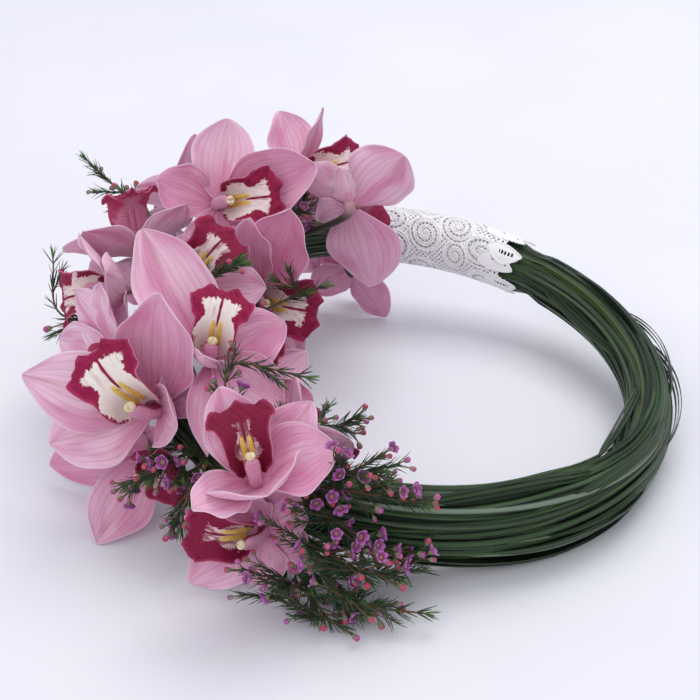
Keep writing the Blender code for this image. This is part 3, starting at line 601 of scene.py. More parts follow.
def lace_pattern(a, b):
    """How far a spot lies inside the threads, and how far the cord stands up there, in mm."""
    turn = b / LACE_ROUND
    inside = np.full(a.shape, -1.0)
    height = np.zeros(a.shape)
    # the net
    for lean in (1, -1):
        line = a / NET_CELL + lean * NET_STRANDS * turn
        away = np.abs(line - np.round(line)) / math.hypot(1 / NET_CELL, NET_STRANDS / LACE_ROUND)
        inside = np.maximum(inside, 0.46 - away)
    inside = np.where(a < 1.5, -1.0, inside)
    # scrolls: spiral cords in pairs, joined by bars
    for i in range(SCROLL_ROWS):
        for k in range(LEAVES):
            vary = math.sin(2.1 * i + 4.7 * k)
            reach = SCROLL_REACH * (0.88 + 0.12 * math.sin(5.3 * i + 2.9 * k))
            middle_a = 15.0 + 20.5 * i + 1.8 * vary
            middle_b = LACE_ROUND * (k + 0.5 * (i % 2)) / LEAVES
            middle_b += 2.2 * math.sin(3.7 * i + 1.9 * k)
            da = a - middle_a
            db = wrapped(b - middle_b)
            r = np.hypot(da * (0.94 - 0.12 * vary), db * (1 + 0.08 * vary))
            angle = np.arctan2(db, da) * (1 if (i + k) % 2 else -1)
            pitch = 3.9 + 0.4 * vary
            q = (r - pitch * angle / math.tau) / pitch
            arm = np.abs(q - np.round(q)) * pitch
            pair = np.abs(arm - 0.65)
            bars_round = 7 + 5 * np.round(r / pitch)
            bars = angle / math.tau * bars_round
            bar = np.abs(bars - np.round(bars)) * math.tau * r / bars_round
            near = r < reach
            body = np.maximum(0.5 - pair, 0.34 - bar)
            body = np.maximum(body, 1.3 - r)
            inside = np.maximum(np.where(near, body, inside), 0.6 - np.abs(r - reach))
            cord = np.clip(1 - (pair / 0.5) ** 2, 0, 1) * near
            cord = cord + np.clip(1 - ((r - reach) / 0.6) ** 2, 0, 1)
            cord = np.sqrt(np.clip(cord, 0, 1)) * 0.75
            height = np.maximum(np.where(near, 0.0, height), cord)
    # leaves along the edge, every second one longer
    for k in range(2 * LEAVES):
        odd = k % 2
        tip = -CUFF + 0.6 + 3.5 * odd
        root = 13.0 + 5 * odd
        x = np.clip((root - a) / (root - tip), 0, 1)
        axis = LACE_ROUND * (k + 0.5) / (2 * LEAVES)
        axis = axis + 2.6 * np.sin(math.pi * x) * (1 if odd else -1)
        half = 6.6 * np.sin(math.pi * x ** 0.85) ** 0.75
        db = wrapped(b - axis)
        leaf = np.where((a > tip) & (a < root), half - np.abs(db), -1.0)
        rung = a / RUNG
        hole_long = np.abs(rung - np.round(rung)) * RUNG
        hole = np.minimum(1.25 - np.abs(db - 0.8), 0.72 - hole_long)
        hole = np.where((x > 0.34) & (x < 0.8), hole, -1.0)
        solid = np.minimum(leaf, -hole)
        own = leaf > 0
        inside = np.where(own, solid, inside)
        rim = np.clip(1 - ((leaf - 0.55) / 0.5) ** 2, 0, 1)
        height = np.where(own, 0.22 + np.sqrt(rim) * 0.6, height)
    # the far end is turned under and sewn
    hem = a > LACE_LONG - HEM
    return np.where(hem, 1.0, inside), np.where(hem, 0.5, height)


def lace_cloth():
    """The sleeve's middle surface, cut along the pattern's outline, cell by cell."""
    along = np.arange(-CUFF, LACE_LONG + CELL / 2, CELL)
    count = int(round(LACE_ROUND / CELL))
    around = np.arange(count) * LACE_ROUND / count
    a, b = np.meshgrid(along, around, indexing="ij")
    inside, _ = lace_pattern(a, b)
    spots = {}
    flat = []

    def spot(key, at_a, at_b):
        if key not in spots:
            spots[key] = len(flat)
            flat.append((at_a, at_b))
        return spots[key]

    faces = []
    step = LACE_ROUND / count
    for i in range(len(along) - 1):
        if inside[i:i + 2].max() <= 0:
            continue
        for j in range(count):
            corners = ((i, j), (i + 1, j), (i + 1, j + 1), (i, j + 1))
            value = [inside[p, q % count] for p, q in corners]
            if max(value) <= 0:
                continue
            ring = []
            for k in range(4):
                (p, q), (m, n) = corners[k], corners[(k + 1) % 4]
                v, w = value[k], value[(k + 1) % 4]
                if v > 0:
                    ring.append(spot((p, q % count), along[p], q * step))
                if (v > 0) != (w > 0):
                    cut = min(max(v / (v - w), 0.1), 0.9)
                    ends = tuple(sorted(((p, q % count), (m, n % count))))
                    at_a = along[p] + cut * (along[m] - along[p])
                    ring.append(spot(ends, at_a, (q + cut * (n - q)) * step))
            for k in range(1, len(ring) - 1):
                faces.append((ring[0], ring[k], ring[k + 1]))
    return np.array(flat), faces


flat, faces = lace_cloth()
_, height = lace_pattern(flat[:, 0], flat[:, 1])
verts = []
for (a, b), h in zip(flat, height):
    fit = 1.5 * min(max((-1.0 - a) / CUFF, 0.0), 1.0)
    verts.append(round_handle(LACE_START + a / MM_PER_DEGREE, -math.tau * b / LACE_ROUND,
                              LACE_RADIUS + h * CORD_HIGH - fit))
verts = np.array(verts)
first, second, third = (verts[corner] for corner in np.array(faces).T)
lace_area = np.linalg.norm(np.cross(second - first, third - first), axis=1).sum() / 2
lace_verts, lace_faces = closed_slab(verts, faces, 0.16 + 0.22 * height)
lace_heap = Heap()
lace_heap.add(lace_verts, lace_faces, 0, cord=np.tile(height, 2))
cotton, wire, shader = new_material("lace_cotton", Sheen_Weight=0.25, Specular_IOR_Level=0.25)
thread = wire.noise(wire.place(), 1600.0, 2.0)
cloud = wire.noise(wire.place(), 120.0, 2.0)
white = cloud.mix((0.91, 0.90, 0.93), (0.97, 0.96, 0.98))
white = wire.mark("cord").rise(0.1, 0.6).mix(white, (0.97, 0.96, 0.97))
feed(wire, shader, white, cloud * 0.1 + 0.75,
     thread + (wire.mark("cord") * 30.0).sine() * 0.2, 0.15)
lace = lace_heap.make("lace_sleeve", [cotton], "lace_wrap")

# ---------------------------------------------------------------------------------------
# Binding. Brown florist's tape, stretched and wound over the grass beside the lace, so that it
# holds the cut ends of the blades.

BAND_START = 100.6
band_heap = Heap()
grid, faces, _ = wound_band(BAND_START, BAND_END + 0.6, 6.5, 4, RIBBON_INNER - 0.1, 0.5, 0.1,
                            0.14, 5)
verts, faces = closed_slab(grid, faces, 0.12)
band_heap.add(verts, faces, 0)
tape = grained("florist_tape", 420.0, 4.0, ((0.09, 0.065, 0.04), (0.22, 0.17, 0.11)), (0.2, 0.6),
               0.35, (0.3, 0.7), Specular_IOR_Level=0.3)
band_heap.make("tape_binding", [tape], "binding_band")

# ---------------------------------------------------------------------------------------
# Orchids. Nineteen cymbidium blooms, each on its own stalk run into the grass: three sepals
# and two petals, waxy and mauve-pink, round a short column that ends in a cream anther cap.
# Every lip is a piece of its own, a cream trough with a broad crimson velvet border.

TEPAL_TURN = {"top": 0, "left": 68, "right": -68, "low_left": 130, "low_right": -130}

# A tepal: extra turn, length, width, lift, bow along it, cup across it, twist
PLAIN = {
    "top": (0, 48, 32, 16, 15, 0.16, 0),
    "left": (0, 48, 32, 22, 10, 0.3, 0),
    "right": (0, 48, 32, 22, 10, 0.3, 0),
    "low_left": (0, 48, 32, 8, 5, 0.16, 0),
    "low_right": (0, 48, 32, 8, 5, 0.16, 0),
}
# how far before or behind the face each tepal starts
FOOT = {"top": -2.5, "left": 0.0, "right": 0.0, "low_left": -2.5, "low_right": -2.5}

# Each orchid: middle of its face, where it looks (compass, height), its spin, its size,
# whether it is seen from close by, how dark it is (partly its own deeper colour and partly painted
# shade on blooms that lie low or under others), and the tepals that differ
ORCHIDS = [
    ("front_left", (-133, -76, 64), -104, 26, -139, 1.08, True, 0.0, {
        "low_right": (-12, 62, 40, 5, -5), "right": (-38, 52, 38, 15, -20),
        "top": (50, 38, 30, 55, 10, 0.5), "left": (17, 26, 24, 5, 0),
        "low_left": (0, 68, 40, 12, 30, 0.45)}),
    ("front_right", (-77, -148, 72), -92, 58, -163, 0.86, True, 0.9, {
        "low_left": (0, 52, 36, 10, 5), "low_right": (-42, 54, 36, 25, 5),
        "left": (30, 46, 44, 15, -10), "right": (0, 44, 30, 45, 0),
        "top": (10, 36, 54, 55, 10, 0.5)}),
    ("back_top", (-108, 62, 112), -78, 30, 90, 0.92, True, 0.25, {
        "right": (-34, 50, 40, 0, 8), "low_right": (-34, 66, 42, 20, 15, 0.4),
        "top": (-25, 42, 34, 25, 0), "left": (0, 44, 30, 15, 0), "low_left": (12, 50, 30, 0, 0)}),
    ("middle", (-103, -71, 92), -84, 44, 163, 0.86, True, 0.1, {
        "low_right": (-8, 84, 46, 4, 14, 0.4), "low_left": (0, 46, 38, 5, 0),
        "right": (32, 50, 32, 62, 20, 0.5), "left": (0, 50, 36, 10, 0),
        "top": (4, 60, 26, 30, -30, 0.3, 60)}),
    ("back_right", (-62, 112, 104), -52, 38, 82, 0.86, True, 0.35, {
        "right": (-17, 46, 38, 0, 10), "low_right": (24, 53, 17, 40, 10, 0.3, 50),
        "low_left": (-5, 46, 36, 14, 20, 0.35), "top": (0, 36, 30, 20, 10),
        "left": (0, 32, 30, 0, -10)}),
    ("handle_side", (-32, 71, 107), 75, 6, 0, 0.88, True, 0.4, {
        "left": (-26, 50, 46, 5, 0), "right": (4, 38, 31, 15, 0), "low_left": (38, 64, 52, 5, 0),
        "top": (-20, 24, 24, 20, 0), "low_right": (4, 26, 26, 10, 0)}),
    ("centre", (-121, -7, 96), -78, 50, 128, 0.92, True, 0.5, {
        "low_right": (0, 30, 30, 20, 0), "low_left": (0, 46, 34, 20, 0),
        "left": (0, 36, 30, 20, 0), "right": (0, 30, 30, 20, 0), "top": (0, 30, 30, 20, 0)}),
    ("inner_middle", (-85, 15, 76), -84, 26, 78, 0.92, True, 0.3, {
        "low_left": (0, 46, 34, 0, 0), "low_right": (30, 62, 42, 12, 25, 0.45),
        "right": (-5, 56, 24, 40, 10, 0.5), "top": (0, 40, 30, 30, 0),
        "left": (0, 44, 32, 15, 0)}),
    ("front_low", (-75, -141, 37), -104, 15, -105, 0.88, True, 0.8, {
        "low_right": (8, 54, 34, 3, 0), "low_left": (0, 40, 30, 10, 0),
        "top": (0, 30, 30, 20, 0), "left": (0, 36, 32, 10, 0), "right": (0, 30, 30, 10, 0)}),
    ("left_high", (-153, 45, 90), 115, 35, 180, 0.88, False, 0.4, {"top": (0, 40, 30, 20, 0)}),
    ("left_side", (-160, 19, 81), 208, 15, -50, 0.9, False, 0.4, {
        "top": (0, 44, 34, 30, 20, 0.4), "left": (0, 46, 34, 10, 0),
        "right": (0, 50, 38, 10, 10), "low_left": (0, 44, 32, 10, 0),
        "low_right": (0, 44, 32, 8, 0)}),
    ("left_low", (-137, -73, 33), -112, 0, 109, 0.9, False, 0.6, {
        "right": (0, 40, 34, 5, 0), "top": (0, 70, 36, 5, 0), "left": (-18, 58, 38, 5, 0),
        "low_left": (0, 36, 30, 20, 0), "low_right": (0, 36, 30, 20, 0)}),
    ("under_middle", (-82, -52, 58), -75, 50, 170, 0.7, False, 0.8, {}),
    ("inner_front", (-64, -96, 50), 25, 35, 30, 0.9, False, 0.5, {
        "top": (0, 44, 28, 60, 0, 0.4), "left": (0, 44, 28, 55, 0, 0.4),
        "right": (0, 44, 28, 55, 0, 0.4), "low_left": (0, 40, 28, 40, 0),
        "low_right": (0, 40, 28, 40, 0)}),
    ("outer_high", (-127, 118, 84), 110, 20, 0, 0.95, False, 0.3, {
        "top": (0, 50, 26, 15, 0, 0.3, 40), "right": (0, 38, 30, 12, 0)}),
    ("under_handle", (-30, 126, 36), 80, 0, 0, 0.75, False, 1.0, {
        "low_left": (20, 51, 32, 0, 3), "top": (0, 24, 24, 60, 10), "left": (20, 26, 28, 10, 0)}),
    ("outer_left", (-158, -30, 68), 212, 20, 70, 0.9, False, 0.2, {
        "top": (0, 52, 34, 10, 5), "left": (-30, 62, 30, 5, 0)}),
    ("outer_back", (-90, 134, 58), 95, 0, 0, 0.98, False, 0.3, {}),
    ("outer_low", (-136, 98, 38.5), 140, -5, 0, 0.95, False, 0.5, {}),
]

# How a tepal gives way to its neighbours: changes of lift, turn, bow and length, smallest first
GIVE_LIFT = (0, 6, -6, 12, -12, 20, -20, 28, 36, 45, 55, 65, 75)
GIVE_TURN = (0, 8, -8, 16, -16, 24, -24)
GIVE_BOW = (0, 25, -25)
GIVE_SHARE = (1, 0.9, 0.8, 0.7, 0.6, 0.5)
GIVE = sorted(
    ((lift, swing, bow, share) for lift in GIVE_LIFT for swing in GIVE_TURN
     for bow in GIVE_BOW for share in GIVE_SHARE),
    key=lambda g: abs(g[0]) / 10 + abs(g[1]) / 8 + abs(g[2]) / 20 + (1 - g[3]) * 14)
# how near to the solid a tepal is laid, and how far off it counts as missing there, in mm
LAID_WITHIN = 0.8
NOT_THERE = 3.0
CURVE_STEPS = 61
TEPAL, COLUMN, ANTHER, STALK = range(4)


def facing(compass, height, spin):
    """Rows are the face's own x, y and forward axis."""
    a = math.radians(compass)
    e = math.radians(height)
    s = math.radians(spin)
    n = np.array([math.cos(a) * math.cos(e), math.sin(a) * math.cos(e), math.sin(e)])
    up = unit(UP - n * (UP @ n))
    y = math.cos(s) * up - math.sin(s) * np.cross(up, n)
    return np.stack([np.cross(y, n), y, n])


def tepal_width(s, blunt=2.2, round_off=0.62):
    rise = 0.2 + 0.8 * math.sin(math.pi / 2 * min(s / 0.5, 1))
    fall = max(1 - max((s - 0.5) / 0.5, 0) ** blunt, 0) ** round_off
    return rise if s < 0.5 else fall


def gone(share, length):
    """How far a curve of that length has gone one way, where share is how much of it goes so."""
    steps = np.cumsum((share[1:] + share[:-1]) / 2)
    return np.concatenate([[0], steps]) / (len(share) - 1) * length


def tepal_grid(turn, length, wide, lift, bow, cup, twist, foot, rows, across, tip=(2.2, 0.62)):
    """Middle surface of one tepal in the orchid's own frame; its last row is its tip."""
    a = math.radians(90 + turn)
    radial = np.array([math.cos(a), math.sin(a), 0.0])
    side = np.cross(UP, radial)
    fine = np.linspace(0, 1, CURVE_STEPS)
    angle = np.radians(lift + bow * fine)
    run = gone(np.cos(angle), length)
    climb = gone(np.sin(angle), length)
    t = np.linspace(-1, 1, across)[:, None]
    bend = 2 * math.atan(cup)
    grid = []
    for s in rows:
        lean = math.radians(lift + bow * s)
        spine = radial * (np.interp(s, fine, run) + 3.0) + UP * (np.interp(s, fine, climb) + foot)
        normal = -radial * math.sin(lean) + UP * math.cos(lean)
        tw = math.radians(twist) * s
        sd = side * math.cos(tw) + normal * math.sin(tw)
        nn = normal * math.cos(tw) - side * math.sin(tw)
        radius = wide / 2 * tepal_width(s, *tip) / math.sin(bend)
        grid.append(spine + sd * radius * np.sin(bend * t) + nn * radius * (1 - np.cos(bend * t)))
    return np.array(grid)


def solid_tree(node):
    """The node's own solid in millimetres, to lay the finer piece on."""
    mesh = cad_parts[node].data
    return BVHTree.FromPolygons([v.co / MM for v in mesh.vertices],
                                [tuple(p.vertices) for p in mesh.polygons])


def laid_tepal(tree, label, spec, near, size, axes, base):
    """The way in which this tepal gives way in the solid, or None where it has none."""
    rows = (0.7, 1) if near else (0.68, 1)
    across = 5 if near else 3
    best = None
    for lift, swing, bow, share in GIVE:
        made = (TEPAL_TURN[label] + spec[0] + swing, spec[1] * share,
                spec[2] * (0.3 + 0.7 * share), spec[3] + lift, spec[4] + bow, spec[5], spec[6],
                FOOT[label])
        grid = tepal_grid(*made, rows, across) * size @ axes + base + SHIFT
        away = tree.find_nearest(Vector(grid[1][0]))[3]
        if best is None or away < best[0]:
            for p in grid[0]:
                away = max(away, tree.find_nearest(Vector(p))[3])
            if best is None or away < best[0]:
                best = (away, made)
            if away < LAID_WITHIN:
                break
    return best[1] if best[0] < NOT_THERE else None


TEPAL_ROWS = 1 - (1 - np.linspace(0, 1, 27)) ** 1.3
TEPAL_ACROSS = 17


def both_sides(**marks):
    """A sheet's marks for the slab that closed_slab makes of it, and which side is its back."""
    count = len(next(iter(marks.values())))
    back = np.concatenate([np.ones(count), np.zeros(count)])
    return {**{name: np.tile(v, 2) for name, v in marks.items()}, "back": back}


def fine_tepal(made, size, axes, base, rng):
    """A tepal with its waved margin, its groove and its fine lengthwise folds."""
    tip = (rng.uniform(1.75, 2.1), rng.uniform(0.74, 0.88))
    grid = tepal_grid(*made, TEPAL_ROWS, TEPAL_ACROSS, tip)
    faces = grid_faces(len(TEPAL_ROWS), TEPAL_ACROSS, True)
    verts = np.concatenate([grid[:-1].reshape(-1, 3), [grid[-1][TEPAL_ACROSS // 2]]])
    t = np.append(np.tile(np.linspace(-1, 1, TEPAL_ACROSS), len(TEPAL_ROWS) - 1), 0.0)
    s = np.append(np.repeat(TEPAL_ROWS[:-1], TEPAL_ACROSS), 1.0)
    half = np.array([made[2] / 2 * tepal_width(x, *tip) for x in s])
    front = -sheet_normals(verts, faces)
    waves = 1.6 + rng.random() * 1.6
    phase = rng.uniform(0, math.tau)
    side = np.where(t > 0, 1.9, 0.0)
    ripple = 1.25 * np.abs(t) ** 3 * np.sin(math.tau * waves * s + phase + side)
    ripple = ripple * np.minimum(4 * s, 1)
    groove = -0.5 * np.exp(-(t / 0.07) ** 2) * (1 - s) ** 0.5
    folds = 0.16 * np.cos(14 * t + phase) * np.sin(math.pi * s)
    curl = -1.3 * rng.random() * np.abs(t) ** 3 * s
    verts = verts + front * (ripple + groove + folds + curl)[:, None]
    verts = verts * size @ axes + base
    rim = (1 - np.abs(t)) * half * size
    rim = np.minimum(rim, (1 - s) * made[1] * size)
    thick = 0.2 + 0.28 * np.minimum(rim / 4, 1) + 0.25 * np.clip(1 - 3 * s, 0, 1)
    return *closed_slab(verts, faces, thick), both_sides(t=t, s=s, rim=rim)


def tube_faces(rings, sides):
    """Faces of a closed tube of rings, with flat ends."""
    faces = []
    for k in range(rings - 1):
        for j in range(sides):
            a = k * sides + j
            b = k * sides + (j + 1) % sides
            faces += [(a, b, b + sides), (a, b + sides, a + sides)]
    last = (rings - 1) * sides
    for j in range(1, sides - 1):
        faces += [(0, j + 1, j), (last, last + j, last + j + 1)]
    return faces


def ring_tube(points, ovals, sides, side):
    """A closed tube through points, each with its half width and half height."""
    points = np.array(points, float)
    verts = []
    for k, (p, (wide, tall)) in enumerate(zip(points, ovals)):
        d = unit(points[min(k + 1, len(points) - 1)] - points[max(k - 1, 0)])
        side = unit(side - d * (side @ d))
        other = np.cross(d, side)
        for j in range(sides):
            f = math.tau * j / sides
            verts.append(p + wide * math.cos(f) * side + tall * math.sin(f) * other)
    return np.array(verts), tube_faces(len(points), sides)


def along_curve(points, t):
    """Point and direction on a smooth curve through the points (Catmull-Rom)."""
    p = [2 * points[0] - points[1]] + list(points) + [2 * points[-1] - points[-2]]
    n = len(points) - 1
    k = min(int(t * n), n - 1)
    u = t * n - k
    a, b, c, d = p[k:k + 4]
    second = 2 * a - 5 * b + 4 * c - d
    third = 3 * b - a - 3 * c + d
    at = 0.5 * (2 * b + (c - a) * u + second * u * u + third * u ** 3)
    return at, unit(0.5 * ((c - a) + 2 * second * u + 3 * third * u * u))


def eased(points, count):
    """That many spots along the curve."""
    return [along_curve(points, s)[0] for s in np.linspace(0, 1, count)]


COLUMN_SPINE = ((0, 0.6, -2.5), (0, 0.4, 9), (0, -1.6, 17), (0, -4.4, 23.5))
COLUMN_AT = [0, 0.3, 0.75, 0.93, 1]
COLUMN_WIDE = [4.6, 3.9, 4.5, 3.9, 1.6]
COLUMN_TALL = [4.2, 3.2, 3.0, 2.6, 1.0]
COLUMN_STEPS = 20


def add_column(heap, base, axes, size):
    """The column: broad and hooded, hollow beneath, bent down to its cap."""
    count = COLUMN_STEPS
    spots = eased([np.array(p) * size @ axes + base for p in COLUMN_SPINE], count)
    ovals = [(np.interp(k / (count - 1), COLUMN_AT, COLUMN_WIDE) * size,
              np.interp(k / (count - 1), COLUMN_AT, COLUMN_TALL) * size) for k in range(count)]
    verts, faces = ring_tube(spots, ovals, count, axes[0])
    under = np.array([-((verts[k * count + j] - spots[k]) @ axes[1]) / ovals[k][1]
                      for k in range(count) for j in range(count)])
    # the underside is drawn in, which leaves the column's two thin wings
    hollow = np.repeat([1.5 * math.sin(math.pi * k / (count - 1)) for k in range(count)], count)
    verts = verts + axes[1] * (hollow * np.clip(under, 0, 1) ** 2 * size)[:, None]
    heap.add(verts, faces, COLUMN, under=under, s=np.repeat(np.linspace(0, 1, count), count))
    # the anther cap: a small two-part bonnet over the tip
    middle = np.array((0, -5.2, 24.6)) * size @ axes + base
    cap = []
    rings, around = 10, 16
    for k in range(rings + 1):
        f = math.pi * k / rings
        for j in range(around):
            g = math.tau * j / around
            p = np.array([3.0 * math.sin(f) * math.cos(g), 2.5 * math.sin(f) * math.sin(g),
                          2.5 * math.cos(f)])
            p[2] -= 0.7 * math.exp(-(p[0] / 0.6) ** 2) * max(p[2], 0)
            cap.append(middle + p * size @ axes)
    faces = []
    for k in range(rings):
        for j in range(around):
            a, b = k * around + j, k * around + (j + 1) % around
            if k:
                faces.append((a, a + around, b))
            if k < rings - 1:
                faces.append((b, a + around, b + around))
    keep = sorted({i for f in faces for i in f})
    index = {old: new for new, old in enumerate(keep)}
    merged = {}
    for old in keep:
        first = old // around * around
        at_pole = first in (0, rings * around) and first in index
        merged[old] = index[first if at_pole else old]
    heap.add([cap[i] for i in keep], [tuple(merged[i] for i in f) for f in faces], ANTHER)


STALK_STEPS = 16
STALK_SIDES = 10
# the part of the hoop, in degrees, that the flowers' stalks are run into
FEET = range(108, 262, 2)


def add_stalk(heap, tree, base, axes, size):
    """The flower's own stalk, from the grass to the back of the bloom."""
    behind = base - axes[2] * 14
    feet = sorted(FEET, key=lambda d: np.linalg.norm(hoop_point(d) - behind))
    back = base - axes[2] * 15 * size
    chosen = None
    for foot in feet[:30]:
        start = hoop_point(foot) + unit(back - hoop_point(foot)) * 7
        middle = (start + back) / 2 - axes[2] * 3
        spot = (middle + back) / 2 + SHIFT
        found, normal = tree.find_nearest(Vector(spot))[:2]
        inside = (Vector(spot) - found).dot(normal)
        if chosen is None or inside < chosen[0] - 0.05:
            chosen = (inside, start, middle)
    _, start, middle = chosen
    spots = eased([start, middle, back, base - axes[2] * 2.5 * size], STALK_STEPS)
    ovals = [(r, r) for r in np.interp(np.linspace(0, 1, STALK_STEPS), [0, 0.6, 0.85, 1],
                                       [2.0, 2.1, 3.0 * size, 4.4 * size])]
    verts, faces = ring_tube(spots, ovals, STALK_SIDES, axes[0])
    heap.add(verts, faces, STALK, s=np.repeat(np.linspace(0, 1, STALK_STEPS), STALK_SIDES))


LIP_AT = [0, 0.12, 0.3, 0.45, 0.56, 0.66, 0.8, 0.92, 1.0]
LIP_HALF = [7, 13, 18, 17.5, 14.5, 17.5, 21.5, 23, 24]
CUP_AT = [0, 0.15, 0.35, 0.5, 0.62, 0.8, 1]
CUP_BY = [0.55, 0.8, 0.9, 0.65, 0.25, 0.02, -0.1]
LIP_ROWS = np.concatenate([np.linspace(0, 0.84, 30),
                           1 - 0.16 * (1 - np.linspace(0, 1, 10)[1:]) ** 1.7])
LIP_ACROSS = 35
LIP_LONG = 44
ROUND_FROM = 0.66
ROUND_LONG = 0.343


def smooth_between(x, at, by, reach=0.05):
    """The value between the given ones, with their corners rounded."""
    return sum(np.interp(np.clip(x + d * reach, 0, 1), at, by) for d in (-1, -0.5, 0, 0.5, 1)) / 5


def fine_lip(size, axes, base, rng):
    """The lip: side lobes that stand beside the column, two keels, and a frilled front lobe."""
    fine = np.linspace(0, 1, CURVE_STEPS)
    angle = np.radians(66 - 30 * fine - 72 * np.clip((fine - 0.4) / 0.6, 0, 1) ** 1.2)
    down = gone(np.cos(angle), LIP_LONG)
    out = gone(np.sin(angle), LIP_LONG)
    q = np.linspace(-1, 1, LIP_ACROSS)
    t = np.sign(q) * np.abs(q) ** 1.25
    grid = []
    wide = []
    for u in LIP_ROWS:
        lean = np.interp(u, fine, angle)
        normal = np.array([0, math.sin(lean), math.cos(lean)])
        half = smooth_between(u, LIP_AT, LIP_HALF)
        if u > ROUND_FROM:
            half *= math.sqrt(max(1 - ((u - ROUND_FROM) / ROUND_LONG) ** 2, 0.002))
        bend = 2 * math.atan(smooth_between(u, CUP_AT, CUP_BY))
        if abs(bend) < 0.02:
            bend = 0.02
        p = np.stack([half / bend * np.sin(bend * t),
                      np.full(LIP_ACROSS, -5.2 - np.interp(u, fine, down)),
                      np.full(LIP_ACROSS, 3.5 + np.interp(u, fine, out))], 1)
        grid.append(p + normal * (half / bend * (1 - np.cos(bend * t)))[:, None])
        wide.append(half)
    grid = np.array(grid)
    rows = len(LIP_ROWS)
    margin = np.concatenate([grid[3:, 0], grid[-1], grid[3:, -1][::-1]])
    verts = grid.reshape(-1, 3)
    faces = grid_faces(rows, LIP_ACROSS)
    t = np.tile(t, rows)
    u = np.repeat(LIP_ROWS, LIP_ACROSS)
    half = np.repeat(wide, LIP_ACROSS)
    x = t * half
    away = np.linalg.norm(verts[:, None] - margin[None], axis=2)
    edge = away.min(1)
    path = np.concatenate([[0], np.cumsum(np.linalg.norm(np.diff(margin, axis=0), axis=1))])
    round_it = path[away.argmin(1)]
    front = -sheet_normals(verts, faces)
    phase = rng.uniform(0, math.tau)
    frill = np.clip((u - 0.5) / 0.15, 0, 1) * np.clip(1 - edge / 7, 0, 1) ** 1.5
    frill = 2.1 * frill * (np.sin(round_it * 0.38 + phase)
                           + 0.4 * np.sin(round_it * 0.83 + 2 * phase))
    keel = np.exp(-((np.abs(x) - 2.3) / (0.9 + 1.1 * np.clip(1 - u / 0.4, 0, 1))) ** 2)
    keel = 1.6 * keel * np.clip((u - 0.06) / 0.1, 0, 1) * np.clip((0.56 - u) / 0.12, 0, 1) ** 0.7
    side = np.clip(1 - edge / 5, 0, 1) * np.clip(1 - u / 0.5, 0, 1)
    side = side * 0.8 * np.sin(round_it * 0.45 + phase)
    dimple = 0.35 * np.sin(x * 1.3 + phase) * np.sin(u * 40) * np.clip((u - 0.5) / 0.2, 0, 1)
    verts = verts + front * (frill + keel + side + dimple)[:, None]
    verts = verts * size @ axes + base
    thick = 0.22 + 0.25 * np.minimum(edge / 3, 1)
    marks = both_sides(u=u, x=x, edge=edge, along=round_it, keel=keel)
    return *closed_slab(verts, faces, thick), marks


# Tepals: mauve-pink, with fine darker veins and a brown-green streak at some tips. Deeper at the
# foot and flushed in places, partly their own colour and partly painted shade of the folds and of
# the foot where they meet; a pale margin, partly their own and partly painted highlight
petal_pink, wire, shader = new_material(
    "petal_pink", Specular_IOR_Level=0.35, Sheen_Weight=0.15, Sheen_Roughness=0.5,
    Subsurface_Weight=0.2, Subsurface_Radius=(0.004, 0.0015, 0.002), Subsurface_Scale=1.0)
t = wire.mark("t")
s = wire.mark("s")
tone = wire.mark("tone")
cloud = wire.noise(wire.flat(t * 1.1 + tone * 31.0, s * 1.4 + tone * 7.0), 1.9, 3.0)
sway = wire.noise(wire.flat(t * 1.2 + tone * 40.0, s * 1.1 + tone * 9.0), 1.5, 2.0)
veins = ((t * 33.0 + sway * 11.0).sine() * 0.5 + 0.5).rise(0.75, 1.0)
strand = wire.noise(wire.flat(t * 12.0 + tone * 70.0, s * 0.6), 1.5, 2.0)
finer = (1 - abs(strand - 0.5) * 16.0).rise(0.0, 0.9)
fibre = wire.noise(wire.flat(t * 30.0 + tone * 20.0, s * 1.6), 1.5, 2.0)
pink = (tone * 0.55 + cloud * 0.6).rise(0.2, 0.9).mix((0.69, 0.27, 0.45), (0.94, 0.64, 0.775))
# painted shade: the foot of each tepal is deepened, partly its own colour and partly the shade
# where the tepals meet
pink = (s.rise(0.5, 0.0) * (0.5 + 0.4 * tone)).mix(pink, (0.56, 0.10, 0.27))
# painted shade: darker blooms are deepened, partly their own colour and partly shade where they lie
# low or under others
pink = (wire.mark("dark") * 0.4).mix(pink, (0.70, 0.24, 0.44))
pink = (wire.mark("back") * 0.3).mix(pink, (0.82, 0.52, 0.66))
# painted light: blooms at the back are paled towards the window light behind them
pink = (wire.mark("pale") * 0.6).mix(pink, (0.94, 0.73, 0.84))
# painted shade: random flushes of deeper pink, partly the tepals' own flush and partly the shade of
# their folds
flush_and_fold_shade = wire.noise(wire.flat(t * 0.9 + tone * 13.0, s * 0.9 + tone * 21.0), 1.4, 2.0)
pink = (flush_and_fold_shade.rise(0.46, 0.68) * 0.65).mix(pink, (0.62, 0.16, 0.35))
strength = (cloud * 0.6 + 0.2) * (1 - s * 0.5)
pink = (veins * strength * 0.66).mix(pink, (0.50, 0.11, 0.28))
pink = (finer * strength * 0.4).mix(pink, (0.52, 0.14, 0.30))
pink = (fibre.rise(0.4, 0.7) * 0.22).mix(pink, (0.90, 0.66, 0.78))
streak = (1 - abs(t) * 9.0).rise(0.0, 0.8) * s.rise(0.55, 0.95) * tone.rise(0.3, 0.8)
pink = (streak * 0.5).mix(pink, (0.48, 0.30, 0.20))
# painted highlight: the pale margin is partly the tepal's own and partly the light caught along its
# edges
edge = 1 - wire.mark("rim").rise(0.05, 0.9)
pink = (edge * 0.45).mix(pink, (0.90, 0.72, 0.81))
feed(wire, shader, pink, cloud * 0.15 + 0.42, fibre * 0.6 - veins * 0.4 + cloud, 0.16)

